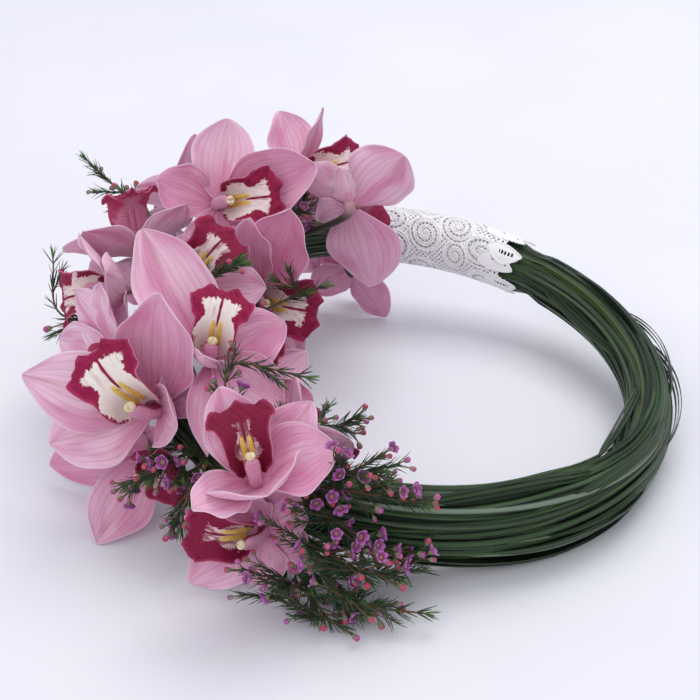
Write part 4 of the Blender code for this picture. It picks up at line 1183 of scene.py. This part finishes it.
column_pink, wire, shader = new_material("column_pink", Specular_IOR_Level=0.4)
under = wire.mark("under")
grain = wire.noise(wire.place(), 700.0, 3.0)
top = grain.rise(0.35, 0.75).mix((0.66, 0.32, 0.46), (0.76, 0.48, 0.58))
below = grain.rise(0.35, 0.65).mix((0.16, 0.004, 0.03), (0.36, 0.03, 0.10))
top = (wire.mark("s").rise(0.5, 0.95) * 0.7).mix(top, (0.62, 0.24, 0.38))
feed(wire, shader, (under + grain * 0.3).rise(-0.3, 0.15).mix(top, below), grain * 0.2 + 0.4,
     grain, 0.1)

cap_cream = grained("anther_cream", 500.0, 3.0, ((0.70, 0.55, 0.30), (0.86, 0.80, 0.62)),
                    (0.2, 0.4), 0.1, (0.3, 0.75), Specular_IOR_Level=0.4)

stalk_green, wire, shader = new_material("stalk_green", Specular_IOR_Level=0.4)
grain = wire.noise(wire.place(), 300.0, 3.0)
stalk = wire.mark("s").rise(0.6, 0.95).mix((0.022, 0.034, 0.018), (0.62, 0.34, 0.40))
feed(wire, shader, (grain * 0.3).mix(stalk, (0.16, 0.05, 0.06)), grain * 0.2 + 0.4, grain, 0.15)

# Lip: cream throat, crimson velvet border with a toothed inner edge, crimson midline, yellow
# keels with crimson dots; outside it is granular pink
lip_velvet, wire, shader = new_material(
    "lip_velvet", Specular_IOR_Level=0.25, Sheen_Weight=0.12, Sheen_Roughness=0.35,
    Sheen_Tint=(0.9, 0.35, 0.5, 1))
u = wire.mark("u")
x = wire.mark("x")
edge = wire.mark("edge")
tone = wire.mark("tone")
dark = wire.mark("dark")
along = wire.mark("along")
teeth = wire.noise(wire.flat(along * 0.5 + tone * 50.0, edge * 0.05), 1.0, 2.0)
comb = wire.noise(wire.flat(along * 1.5 + tone * 9.0, edge * 0.12), 1.0, 2.0)
patch = wire.noise(wire.flat(x * 0.17 + tone * 17.0, u * 5.0), 1.0, 3.0)
front_lobe = u.rise(0.44, 0.62)
sides = (patch + dark * 0.3).rise(0.45, 0.62) * 7.0 * (0.45 + dark)
deep = front_lobe * (dark * 6.0 + 7.0) + (1 - front_lobe) * sides
deep = deep + (teeth - 0.5) * 4.5 + (comb - 0.5) * 4.0
crimson = (deep - edge).rise(-0.25, 0.35)
middle = (1 - abs(x) * 1.1).rise(-0.1, 0.35) * u.rise(0.40, 0.5)
flames = wire.noise(wire.flat(x * 0.9, u * 2.2 + tone * 5.0), 1.0, 2.0).rise(0.56, 0.62)
flames = flames * u.rise(0.5, 0.66)
crimson = wire.maths("MAXIMUM", crimson, middle)
crimson = wire.maths("MAXIMUM", crimson, flames * (0.25 + dark * 0.75))
stain = wire.noise(wire.flat(x * 0.35, u * 6.0 + tone * 3.0), 1.0, 3.0)
stain = stain.rise(0.62 - 0.25 * dark, 0.70 - 0.2 * dark)
crimson = wire.maths("MAXIMUM", crimson, stain * dark * u.rise(0.2, 0.4))
throat = patch.mix((0.90, 0.78, 0.74), (0.93, 0.88, 0.80))
throat = (dark * 0.7).mix(throat, (0.70, 0.32, 0.42))
keel = (wire.mark("keel") + patch * 0.5).rise(0.35, 0.9)
dots = wire.noise(wire.flat(x * 1.4, u * 42.0), 1.0, 2.0).rise(0.60, 0.66)
yellow = (dots * 0.8).mix((0.84, 0.58, 0.13), (0.30, 0.01, 0.04))
velvet = wire.noise(wire.flat(x * 1.8, u * 70.0), 1.0, 3.0)
red = velvet.mix((0.20, 0.003, 0.036), (0.42, 0.010, 0.092))
mottle = wire.noise(wire.flat(x * 0.55 + tone * 4.0, u * 22.0), 1.0, 3.0)
red = (mottle.rise(0.5, 0.7) * 0.5).mix(red, (0.11, 0.001, 0.018))
# painted shade: the crimson of darker blooms is deepened, partly their own colour and partly shade
red = (dark * 0.55).mix(red, (0.11, 0.002, 0.014))
red = ((1 - edge.rise(0.4, 2.6)) * 0.5).mix(red, (0.50, 0.06, 0.17))
inner = crimson.mix(throat, red)
inner = keel.mix(inner, yellow)
inner = ((1 - edge.rise(0.1, 0.5)) * 0.7).mix(inner, (0.74, 0.42, 0.54))
grains = wire.noise(wire.flat(x * 2.4, u * 100.0), 1.0, 2.0)
outer = grains.rise(0.35, 0.65).mix((0.70, 0.35, 0.48), (0.40, 0.04, 0.13))
outer = ((deep - edge).rise(-3.0, 1.0) * 0.8).mix(outer, (0.42, 0.015, 0.09))
feed(wire, shader, wire.mark("back").mix(inner, outer), crimson * 0.2 + 0.48,
     velvet + grains * 0.5, 0.2)

for number, orchid in enumerate(ORCHIDS):
    name, base, compass, height, spin, size, near, dark, changed = orchid
    base = np.array(base, float)
    axes = facing(compass, height, spin)
    tree = solid_tree("orchid_" + name)
    rng = random.Random(300 + number)
    # the blooms at the back are painted paler, as painted light from the window behind them
    pale = min(max((base[1] - 40) / 100, 0), 1) * (1 - dark)
    bloom = Heap()
    for label in TEPAL_TURN:
        spec = list(PLAIN[label])
        given = changed.get(label, ())
        spec[:len(given)] = given
        made = laid_tepal(tree, label, spec, near, size, axes, base)
        if made is None:
            continue
        verts, faces, marks = fine_tepal(made, size, axes, base, rng)
        bloom.add(verts, faces, TEPAL, tone=rng.random(), dark=dark, pale=pale, **marks)
    add_column(bloom, base, axes, size)
    add_stalk(bloom, tree, base, axes, size)
    bloom.make("bloom_" + name, [petal_pink, column_pink, cap_cream, stalk_green],
               "orchid_" + name)
    lip = Heap()
    verts, faces, marks = fine_lip(size, axes, base, rng)
    lip.add(verts, faces, 0, tone=rng.random(), dark=dark, **marks)
    lip.make("bloom_lip_" + name, [lip_velvet], "lip_" + name)

# ---------------------------------------------------------------------------------------
# Waxflower. Fifteen wiry sprigs tucked in between the blooms: thin reddish stems with pairs of
# fine needle leaves, tufts of brighter ones at the tips, round pink buds on green calyxes and
# waxy five-petalled cups. Each sprig's stem is run into the grass.

# Points of each stem, its leaf nodes, its buds and its open cups
SPRAYS = [
    ("front_a", [(-66, -118, 50), (-45, -136, 60), (-20, -143, 60), (2, -144, 55)], 8, 5, 3),
    ("front_b", [(-66, -124, 44), (-45, -144, 48), (-22, -149, 36), (-3, -141, 24)], 8, 4, 4),
    ("front_c", [(-68, -124, 40), (-44, -153, 38), (-20, -158, 24), (4, -145, 13)], 8, 6, 2),
    ("front_d", [(-70, -126, 36), (-50, -160, 30), (-28, -167, 16), (-5, -162, 7)], 8, 7, 1),
    ("front_e", [(-72, -128, 30), (-60, -160, 20), (-42, -168, 11), (-23, -160, 7)], 8, 6, 2),
    ("front_f", [(-62, -120, 52), (-50, -138, 68), (-34, -142, 72), (-14, -136, 70)], 7, 4, 2),
    ("low_a", [(-100, -84, 50), (-107, -104, 52), (-113, -118, 42), (-117, -124, 26)], 7, 3, 3),
    ("low_b", [(-104, -80, 50), (-118, -96, 54), (-131, -104, 46), (-141, -104, 36)], 6, 2, 3),
    ("over_front", [(-98, -84, 56), (-103, -104, 86), (-86, -105, 101), (-60, -92, 107)], 9, 3, 1),
    ("left_high", [(-118, 66, 66), (-150, 92, 78), (-170, 122, 88), (-190, 142, 94)], 6, 6, 0),
    ("left_side", [(-134, -6, 62), (-168, 12, 60), (-192, 20, 72), (-213, 36, 79)], 6, 3, 0),
    ("centre", [(-126, -24, 62), (-118, -30, 98), (-110, -30, 112), (-96, -20, 118)], 7, 3, 1),
    ("inner", [(-118, 6, 66), (-92, 2, 80), (-72, 2, 96), (-60, 6, 105)], 7, 2, 0),
    ("right", [(-84, -96, 50), (-62, -96, 66), (-46, -95, 68), (-35, -92, 65)], 6, 5, 0),
    ("back", [(-64, 116, 66), (-74, 92, 86), (-66, 90, 94), (-54, 92, 96)], 5, 1, 4),
]
# Side shoots of each sprig, and the share of them that ends in open cups
SHOOTS = {
    "front_a": (13, 0.5), "front_b": (14, 0.6), "front_c": (13, 0.45), "front_d": (11, 0.15),
    "front_e": (13, 0.3), "front_f": (11, 0.45), "low_a": (12, 0.4), "low_b": (11, 0.4),
    "over_front": (4, 0.0), "left_high": (8, 0.0), "left_side": (4, 0.0), "centre": (8, 0.1),
    "inner": (8, 0.0), "right": (8, 0.0), "back": (9, 0.7),
}
# Of these, how many shoots grow back over the low bloom
LEAN_BACK = {"front_b": 4, "front_c": 6, "front_d": 6, "front_e": 7}
BACKWARDS = np.array([-0.8, -0.25, 0.4])
STEM_RADIUS = 0.9
STEM_TRIES = 240
STEM_WITHIN = 1.0
LEAF_WITHIN = 0.6
NEEDLE = 11.0
LEAF_PATCH = 0.9
BUD = 2.5
CUP = 4.9
STEM, LEAF, CALYX, BALL, PETAL, DISC, ANTHERS = range(7)


def any_way(rng):
    return np.array([rng.uniform(-1, 1) for _ in range(3)])


def laid_stem(tree, points, number):
    """The stem's points as they lie in the solid, after it has given way to the blooms."""
    rng = random.Random(50 + number)
    best = None
    for attempt in range(STEM_TRIES):
        reach = 0.0 if attempt == 0 else 2.0 + attempt * 0.08
        moved = [points[0] + any_way(rng) * reach * 0.4]
        moved += [p + any_way(rng) * reach for p in points[1:]]
        away = 0.0
        for t in (1.0, 0.93, 0.65, 0.5):
            away = max(away, tree.find_nearest(Vector(along_curve(moved, t)[0] + SHIFT))[3])
            if best is not None and away > best[0]:
                break
        if best is None or away < best[0]:
            best = (away, moved)
        if away < STEM_WITHIN:
            break
    return best[1]


def needle(heap, foot, way, out, long, wide, rng, fresh=0.0):
    """One needle leaf: three-sided, a little curved, with a fine point."""
    side = np.cross(way, out)
    side = side / max(np.linalg.norm(side), 1e-6)
    up = np.cross(side, way)
    bend = rng.uniform(-0.05, 0.16) * long
    verts = []
    for s, r in ((0, 0.55), (0.25, 1.0), (0.6, 0.85), (0.88, 0.5)):
        middle = foot + way * long * s + up * bend * s * s
        for f in (0.5, 2.6, 4.7):
            verts.append(middle + wide / 2 * r * (side * math.cos(f) + up * math.sin(f) * 0.6))
    verts.append(foot + way * long + up * bend)
    faces = [(0, 2, 1)]
    for k in range(3):
        for j in range(3):
            a, b = 3 * k + j, 3 * k + (j + 1) % 3
            faces += [(a, b, b + 3), (a, b + 3, a + 3)]
    faces += [(9 + j, 9 + (j + 1) % 3, 12) for j in range(3)]
    s = [0.0] * 3 + [0.25] * 3 + [0.6] * 3 + [0.88] * 3 + [1.0]
    heap.add([on_table(v) for v in verts], faces, LEAF, s=np.array(s), tone=rng.random(),
             fresh=fresh)


def turned_body(heap, foot, way, side, outline, size, around, finish, tone, lobe=0.0):
    """A round body turned about its way, with five lobes: distance along and radius."""
    other = np.cross(way, side)
    verts = []
    for at, radius in outline:
        for j in range(around):
            f = math.tau * j / around
            r = radius * size * (1 + lobe * math.cos(5 * f))
            verts.append(foot + way * (at * size) + r * (side * math.cos(f) + other * math.sin(f)))
    v = np.repeat(np.linspace(0, 1, len(outline)), around)
    heap.add([on_table(p) for p in verts], tube_faces(len(outline), around), finish, s=v, tone=tone)


# a way that no sprig grows in, from which the sides of a tube are set off
ASIDE = np.array([0.31, 0.87, 0.38])


def thin_stalk(heap, foot, end, radius):
    points = [foot + (end - foot) * s for s in (0, 0.35, 0.7, 1)]
    verts, faces = ring_tube(points, [(radius, radius)] * 4, 5, ASIDE)
    heap.add(verts, faces, STEM, s=np.repeat([0, 0.35, 0.7, 1.0], 5), tone=0.5)


def side_of(way):
    return unit(np.cross(way, ASIDE))


def round_way(ahead, f):
    """A way square to another one, at an angle round it."""
    side = side_of(ahead)
    return side * math.cos(f) + np.cross(ahead, side) * math.sin(f)


def leaning(way, out, degrees):
    """The way, tipped outwards by that much."""
    lean = math.radians(degrees)
    return way * math.cos(lean) + out * math.sin(lean)


# Outlines of the turned bodies: distance along and radius
BUD_CALYX = [(-0.6, 0.5), (0.2, 1.0), (1.2, 1.7), (2.4, 2.0), (3.1, 1.95), (3.2, 1.6)]
BUD_BALL = [(2.6, 1.5), (3.2, 2.0), (4.1, 2.15), (4.9, 1.6), (5.35, 0.8), (5.5, 0.2)]
CUP_CALYX = [(-0.6, 0.5), (0.3, 1.1), (1.3, 1.9), (2.4, 2.5), (2.9, 2.6), (2.9, 2.2)]
CUP_DISC = [(2.5, 2.6), (3.0, 2.5), (2.9, 1.5), (2.6, 0.6), (2.6, 0.15)]
STAMEN = [(0, 0.2), (0.3, 0.42), (0.7, 0.35), (0.85, 0.1)]


def add_bud(heap, end, way, rng, size=1.0):
    """A closed bud: a ribbed green calyx with the pink ball of the petals in it."""
    side = side_of(way)
    size *= rng.uniform(0.78, 1.05)
    tone = rng.random()
    turned_body(heap, end, way, side, BUD_CALYX, size, 10, CALYX, tone, 0.06)
    turned_body(heap, end, way, side, BUD_BALL, size, 10, BALL, tone, 0.05)


def add_cup(heap, end, way, rng, size=1.0):
    """An open flower: calyx cup, five round petals and a dark waxy disc ringed by stamens."""
    side = side_of(way)
    other = np.cross(way, side)
    tone = rng.random()
    turned_body(heap, end, way, side, CUP_CALYX, size, 12, CALYX, tone, 0.05)
    turned_body(heap, end, way, side, CUP_DISC, size, 12, DISC, tone)
    first = rng.uniform(0, math.tau)
    for k in range(5):
        f = first + math.tau * k / 5
        out = side * math.cos(f) + other * math.sin(f)
        across = np.cross(way, out)
        grid = []
        rim = []
        for i in range(6):
            s = i / 5
            half = 2.15 * math.sin(math.pi * (0.16 + 0.8 * s)) ** 0.7
            for j in range(5):
                t = -1 + j / 2
                rise = 2.5 + 2.1 * s + 0.5 * s * t * t - 0.25 * (1 - t * t)
                reach = 2.2 + 2.5 * s - 0.4 * t * t * s
                grid.append(end + (out * reach + across * half * t + way * rise) * size)
                rim.append((s, t))
        verts, faces = closed_slab(np.array(grid), grid_faces(6, 5), 0.2)
        rim = np.array(rim * 2)
        heap.add([on_table(p) for p in verts], faces, PETAL, s=rim[:, 0], t=rim[:, 1], tone=tone)
    for k in range(10):
        f = first + math.tau * (k + 0.5) / 10
        out = side * math.cos(f) + other * math.sin(f)
        spot = end + (out * 2.2 + way * 3.0) * size
        turned_body(heap, spot, way, out, STAMEN, size, 5, ANTHERS, tone)


# the blooms' solids, which the added shoots stay out of
bloom_points = []
bloom_faces = []
for node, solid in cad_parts.items():
    if node.startswith(("orchid_", "lip_")):
        first = len(bloom_points)
        bloom_points += [v.co / MM for v in solid.data.vertices]
        bloom_faces += [tuple(first + i for i in face.vertices) for face in solid.data.polygons]
bloom_tree = BVHTree.FromPolygons(bloom_points, bloom_faces)
# how low and how far forward the added shoots may reach
LOWEST = 2.0
FOREMOST = -179.0


def clear_way(foot, tip):
    """Whether nothing of a bloom or of the table stands between two spots."""
    way = tip - foot
    long = np.linalg.norm(way)
    if min(foot[2], tip[2]) < LOWEST or tip[1] < FOREMOST:
        return False
    return bloom_tree.ray_cast(Vector(foot + SHIFT), Vector(way / long), long * 1.08)[0] is None


def add_shoot(heap, at, ahead, out, long, head, rng):
    """A side shoot set with needles that ends in buds, in a cup or in a green tuft."""
    bend = out * rng.uniform(-0.25, 0.1) + UP * rng.uniform(0.0, 0.25)
    line = [at + ahead * long * s + bend * long * s * s / 2 for s in np.linspace(0, 1, 7)]
    verts, faces = ring_tube(line, [(r, r) for r in np.linspace(0.6, 0.35, 7)], 6, side_of(ahead))
    heap.add(verts, faces, STEM, s=np.repeat(np.linspace(0, 1, 7), 6), tone=0.5)
    count = int(long * 1.35)
    for k in range(count):
        s = 0.12 + 0.86 * (k + rng.random()) / count
        spot = at + ahead * long * s + bend * long * s * s / 2
        around = round_way(ahead, k * 2.4 + rng.uniform(-0.4, 0.4))
        lead = leaning(ahead, around, rng.uniform(12, 34))
        reach = rng.uniform(5, 10)
        if clear_way(spot, spot + lead * reach):
            needle(heap, spot, lead, around, reach, rng.uniform(0.7, 1.0), rng, 0.5 * s)
    end = line[-1]
    for k in range(6 if head == "tuft" else 2 if head == "cup" else rng.choice((1, 2, 3))):
        around = round_way(ahead, 1.9 * k + rng.uniform(-0.4, 0.4))
        lead = leaning(ahead, around, rng.uniform(6, 26) if head == "tuft" else rng.uniform(10, 55))
        if head == "tuft":
            if clear_way(end, end + lead * 8):
                needle(heap, end, lead, around, rng.uniform(5, 9), rng.uniform(0.7, 0.9), rng, 1.0)
            continue
        top = end + lead * rng.uniform(2.5, 6.5)
        if clear_way(end, top + lead * 8) and min(top[2], top[2] + 8 * lead[2]) > 5:
            thin_stalk(heap, end - ahead * 0.4, top, 0.33)
            if head == "cup" and k == 0:
                add_cup(heap, top, lead, rng, rng.uniform(0.62, 0.78))
            else:
                add_bud(heap, top, lead, rng, 0.72)


stem_brown = grained("sprig_stem", 420.0, 3.0, ((0.09, 0.10, 0.035), (0.17, 0.06, 0.04)),
                     (0.2, 0.5), 0.12, (0.35, 0.65), Specular_IOR_Level=0.35)

needle_green, wire, shader = new_material("sprig_needle", Specular_IOR_Level=0.4)
s = wire.mark("s")
tone = wire.mark("tone")
green = tone.mix((0.012, 0.035, 0.016), (0.035, 0.08, 0.03))
fresh = wire.mark("fresh").rise(0.2, 1.1) * 0.8 + s.rise(0.7, 1.0) * 0.12
green = fresh.mix(green, (0.12, 0.24, 0.045))
green = (s.rise(0.93, 1.0) * 0.6).mix(green, (0.36, 0.22, 0.10))
grain = wire.noise(wire.place(), 600.0, 2.0)
feed(wire, shader, (grain * 0.35).mix(green, (0.02, 0.04, 0.03)), grain * 0.2 + 0.4, grain, 0.08)

calyx_green, wire, shader = new_material("sprig_calyx", Specular_IOR_Level=0.35)
grain = wire.noise(wire.place(), 500.0, 3.0)
base_tone = wire.mark("tone").mix((0.15, 0.17, 0.10), (0.28, 0.30, 0.17))
blush = wire.mark("s").rise(0.5, 1.0) * 0.6 + grain * 0.25
feed(wire, shader, blush.mix(base_tone, (0.33, 0.10, 0.14)), grain * 0.2 + 0.45, grain, 0.12)

bud_pink, wire, shader = new_material("sprig_bud", Specular_IOR_Level=0.5)
grain = wire.noise(wire.place(), 420.0, 3.0)
ball = wire.mark("tone").rise(0.35, 1.0).mix((0.44, 0.035, 0.085), (0.40, 0.09, 0.34))
feed(wire, shader, (grain.rise(0.4, 0.75) * 0.35).mix(ball, (0.60, 0.22, 0.36)),
     grain * 0.15 + 0.3, grain, 0.08)

cup_purple, wire, shader = new_material("sprig_petal", Specular_IOR_Level=0.45, Sheen_Weight=0.1)
s = wire.mark("s")
grain = wire.noise(wire.place(), 480.0, 3.0)
petal = wire.mark("tone").mix((0.30, 0.04, 0.27), (0.46, 0.11, 0.42))
petal = (s.rise(0.4, 1.0) * 0.6).mix(petal, (0.62, 0.27, 0.60))
feed(wire, shader, (grain * 0.3).mix(petal, (0.20, 0.02, 0.13)), grain * 0.15 + 0.32, grain, 0.1)

disc_red = grained("sprig_disc", 600.0, 2.0, ((0.07, 0.002, 0.012), (0.20, 0.008, 0.04)),
                   (0.15, 0.22), 0.08, Specular_IOR_Level=0.6)
pollen = grained("sprig_stamen", 900.0, 2.0, ((0.22, 0.03, 0.10), (0.50, 0.20, 0.34)),
                 (0.2, 0.5), 0.05)
SPRIG_FINISH = [stem_brown, needle_green, calyx_green, bud_pink, cup_purple, disc_red, pollen]

for number, (name, points, nodes, buds, cups) in enumerate(SPRAYS):
    tree = solid_tree("spray_" + name)
    points = laid_stem(tree, [np.array(p, float) for p in points], number)
    rng = random.Random(number + 1)
    finer = random.Random(700 + number)
    sprig = Heap()
    spots = [0.3 + 0.66 * k / (nodes - 1) for k in range(nodes)]
    line = eased(points, 30)
    verts, faces = ring_tube(line, [(r, r) for r in np.linspace(1.0, 0.45, 30)], 8,
                             side_of(line[1] - line[0]))
    sprig.add(verts, faces, STEM, s=np.repeat(np.linspace(0, 1, 30), 8), tone=0.5)
    # the solid's own stem, whose corners give the directions of its leaves
    long = sum(np.linalg.norm(along_curve(points, (k + 1) / 20)[0] - along_curve(points, k / 20)[0])
               for k in range(20))
    half = LEAF_PATCH / long
    stops = [0.0] + [t + e for t in spots for e in (-half, half)] + [1.0]
    radii = [STEM_RADIUS * (1.1 - 0.4 * t) for t in stops]
    first_way = unit(along_curve(points, stops[1])[0] - along_curve(points, stops[0])[0])
    start_side = np.array([1.0, 0, 0] if abs(first_way[0]) < 0.9 else [0, 1.0, 0])
    corners, _ = ring_tube([along_curve(points, t)[0] for t in stops], [(r, r) for r in radii], 4,
                           start_side)
    heads = ["cup"] * cups + ["bud"] * buds
    for k, t in enumerate(spots):
        at, way = along_curve(points, t)
        for j in range(4):
            ring = (2 * k + 1) * 4
            patch = corners[[ring + j, ring + (j + 1) % 4, ring + 4 + (j + 1) % 4, ring + 4 + j]]
            out = unit(patch.mean(0) - at)
            if (j + k) % 2 == 0:
                ahead = leaning(way, out, rng.uniform(24, 46))
                tip = at + ahead * NEEDLE * rng.uniform(0.8, 1.2)
                if tree.find_nearest(Vector(tip + SHIFT))[3] > LEAF_WITHIN:
                    continue
                needle(sprig, at, ahead, out, np.linalg.norm(tip - at), 1.15, finer)
            elif heads and k >= 1 and rng.random() < 0.75:
                kind = heads.pop(0)
                ahead = leaning(way, out, rng.uniform(32, 60))
                end = at + ahead * rng.uniform(8, 14)
                top = end + ahead * (BUD * 2.2 if kind == "bud" else CUP * 0.3)
                if tree.find_nearest(Vector(top + SHIFT))[3] > LEAF_WITHIN:
                    continue
                thin_stalk(sprig, at, end, 0.42)
                if kind == "bud":
                    add_bud(sprig, end, ahead, finer, 0.85)
                else:
                    add_cup(sprig, end, ahead, finer, 0.82)
                for _ in range(2):
                    lead = unit(ahead + 0.55 * any_way(finer))
                    needle(sprig, at + (end - at) * finer.uniform(0.3, 0.75), lead, out,
                           finer.uniform(5, 8), 0.8, finer, 0.3)
    # more leaves than the solid shows, and the tuft at the tip
    for k in range(nodes * 5):
        t = finer.uniform(0.32, 0.97)
        at, way = along_curve(points, t)
        out = round_way(way, finer.uniform(0, math.tau))
        ahead = leaning(way, out, finer.uniform(14, 34))
        needle(sprig, at, ahead, out, finer.uniform(7, 12), finer.uniform(0.7, 1.0), finer, t * 0.4)
    at, way = along_curve(points, 0.985)
    for k in range(9):
        out = round_way(way, math.tau * k / 9 + finer.uniform(-0.3, 0.3))
        ahead = leaning(way, out, finer.uniform(4, 24))
        needle(sprig, at, ahead, out, finer.uniform(6, 10), finer.uniform(0.7, 1.0), finer, 1.0)
    for k in range(LEAN_BACK.get(name, 0)):
        at, way = along_curve(points, 0.34 + 0.36 * finer.random())
        for attempt in range(12):
            ahead = unit(BACKWARDS + [finer.uniform(-0.35, 0.35) for _ in range(3)])
            long = finer.uniform(16, 34)
            if clear_way(at + ahead * 1.5, at + ahead * long * 1.25):
                head = finer.choice(("cup", "cup", "bud"))
                add_shoot(sprig, at, ahead, -ahead, long, head, finer)
                break
    shoots, open_share = SHOOTS[name]
    for k in range(shoots):
        at, way = along_curve(points, 0.12 + 0.72 * (k + finer.random()) / shoots)
        for attempt in range(8):
            out = round_way(way, finer.uniform(0, math.tau))
            ahead = leaning(way, out, finer.uniform(18, 52))
            long = finer.uniform(9, 20)
            if clear_way(at + ahead * 1.5, at + ahead * long * 1.3):
                head = "cup" if finer.random() < open_share else finer.choice(("bud", "tuft"))
                add_shoot(sprig, at, ahead, out, long, head, finer)
                break
    sprig.make("sprig_" + name, SPRIG_FINISH, "spray_" + name)
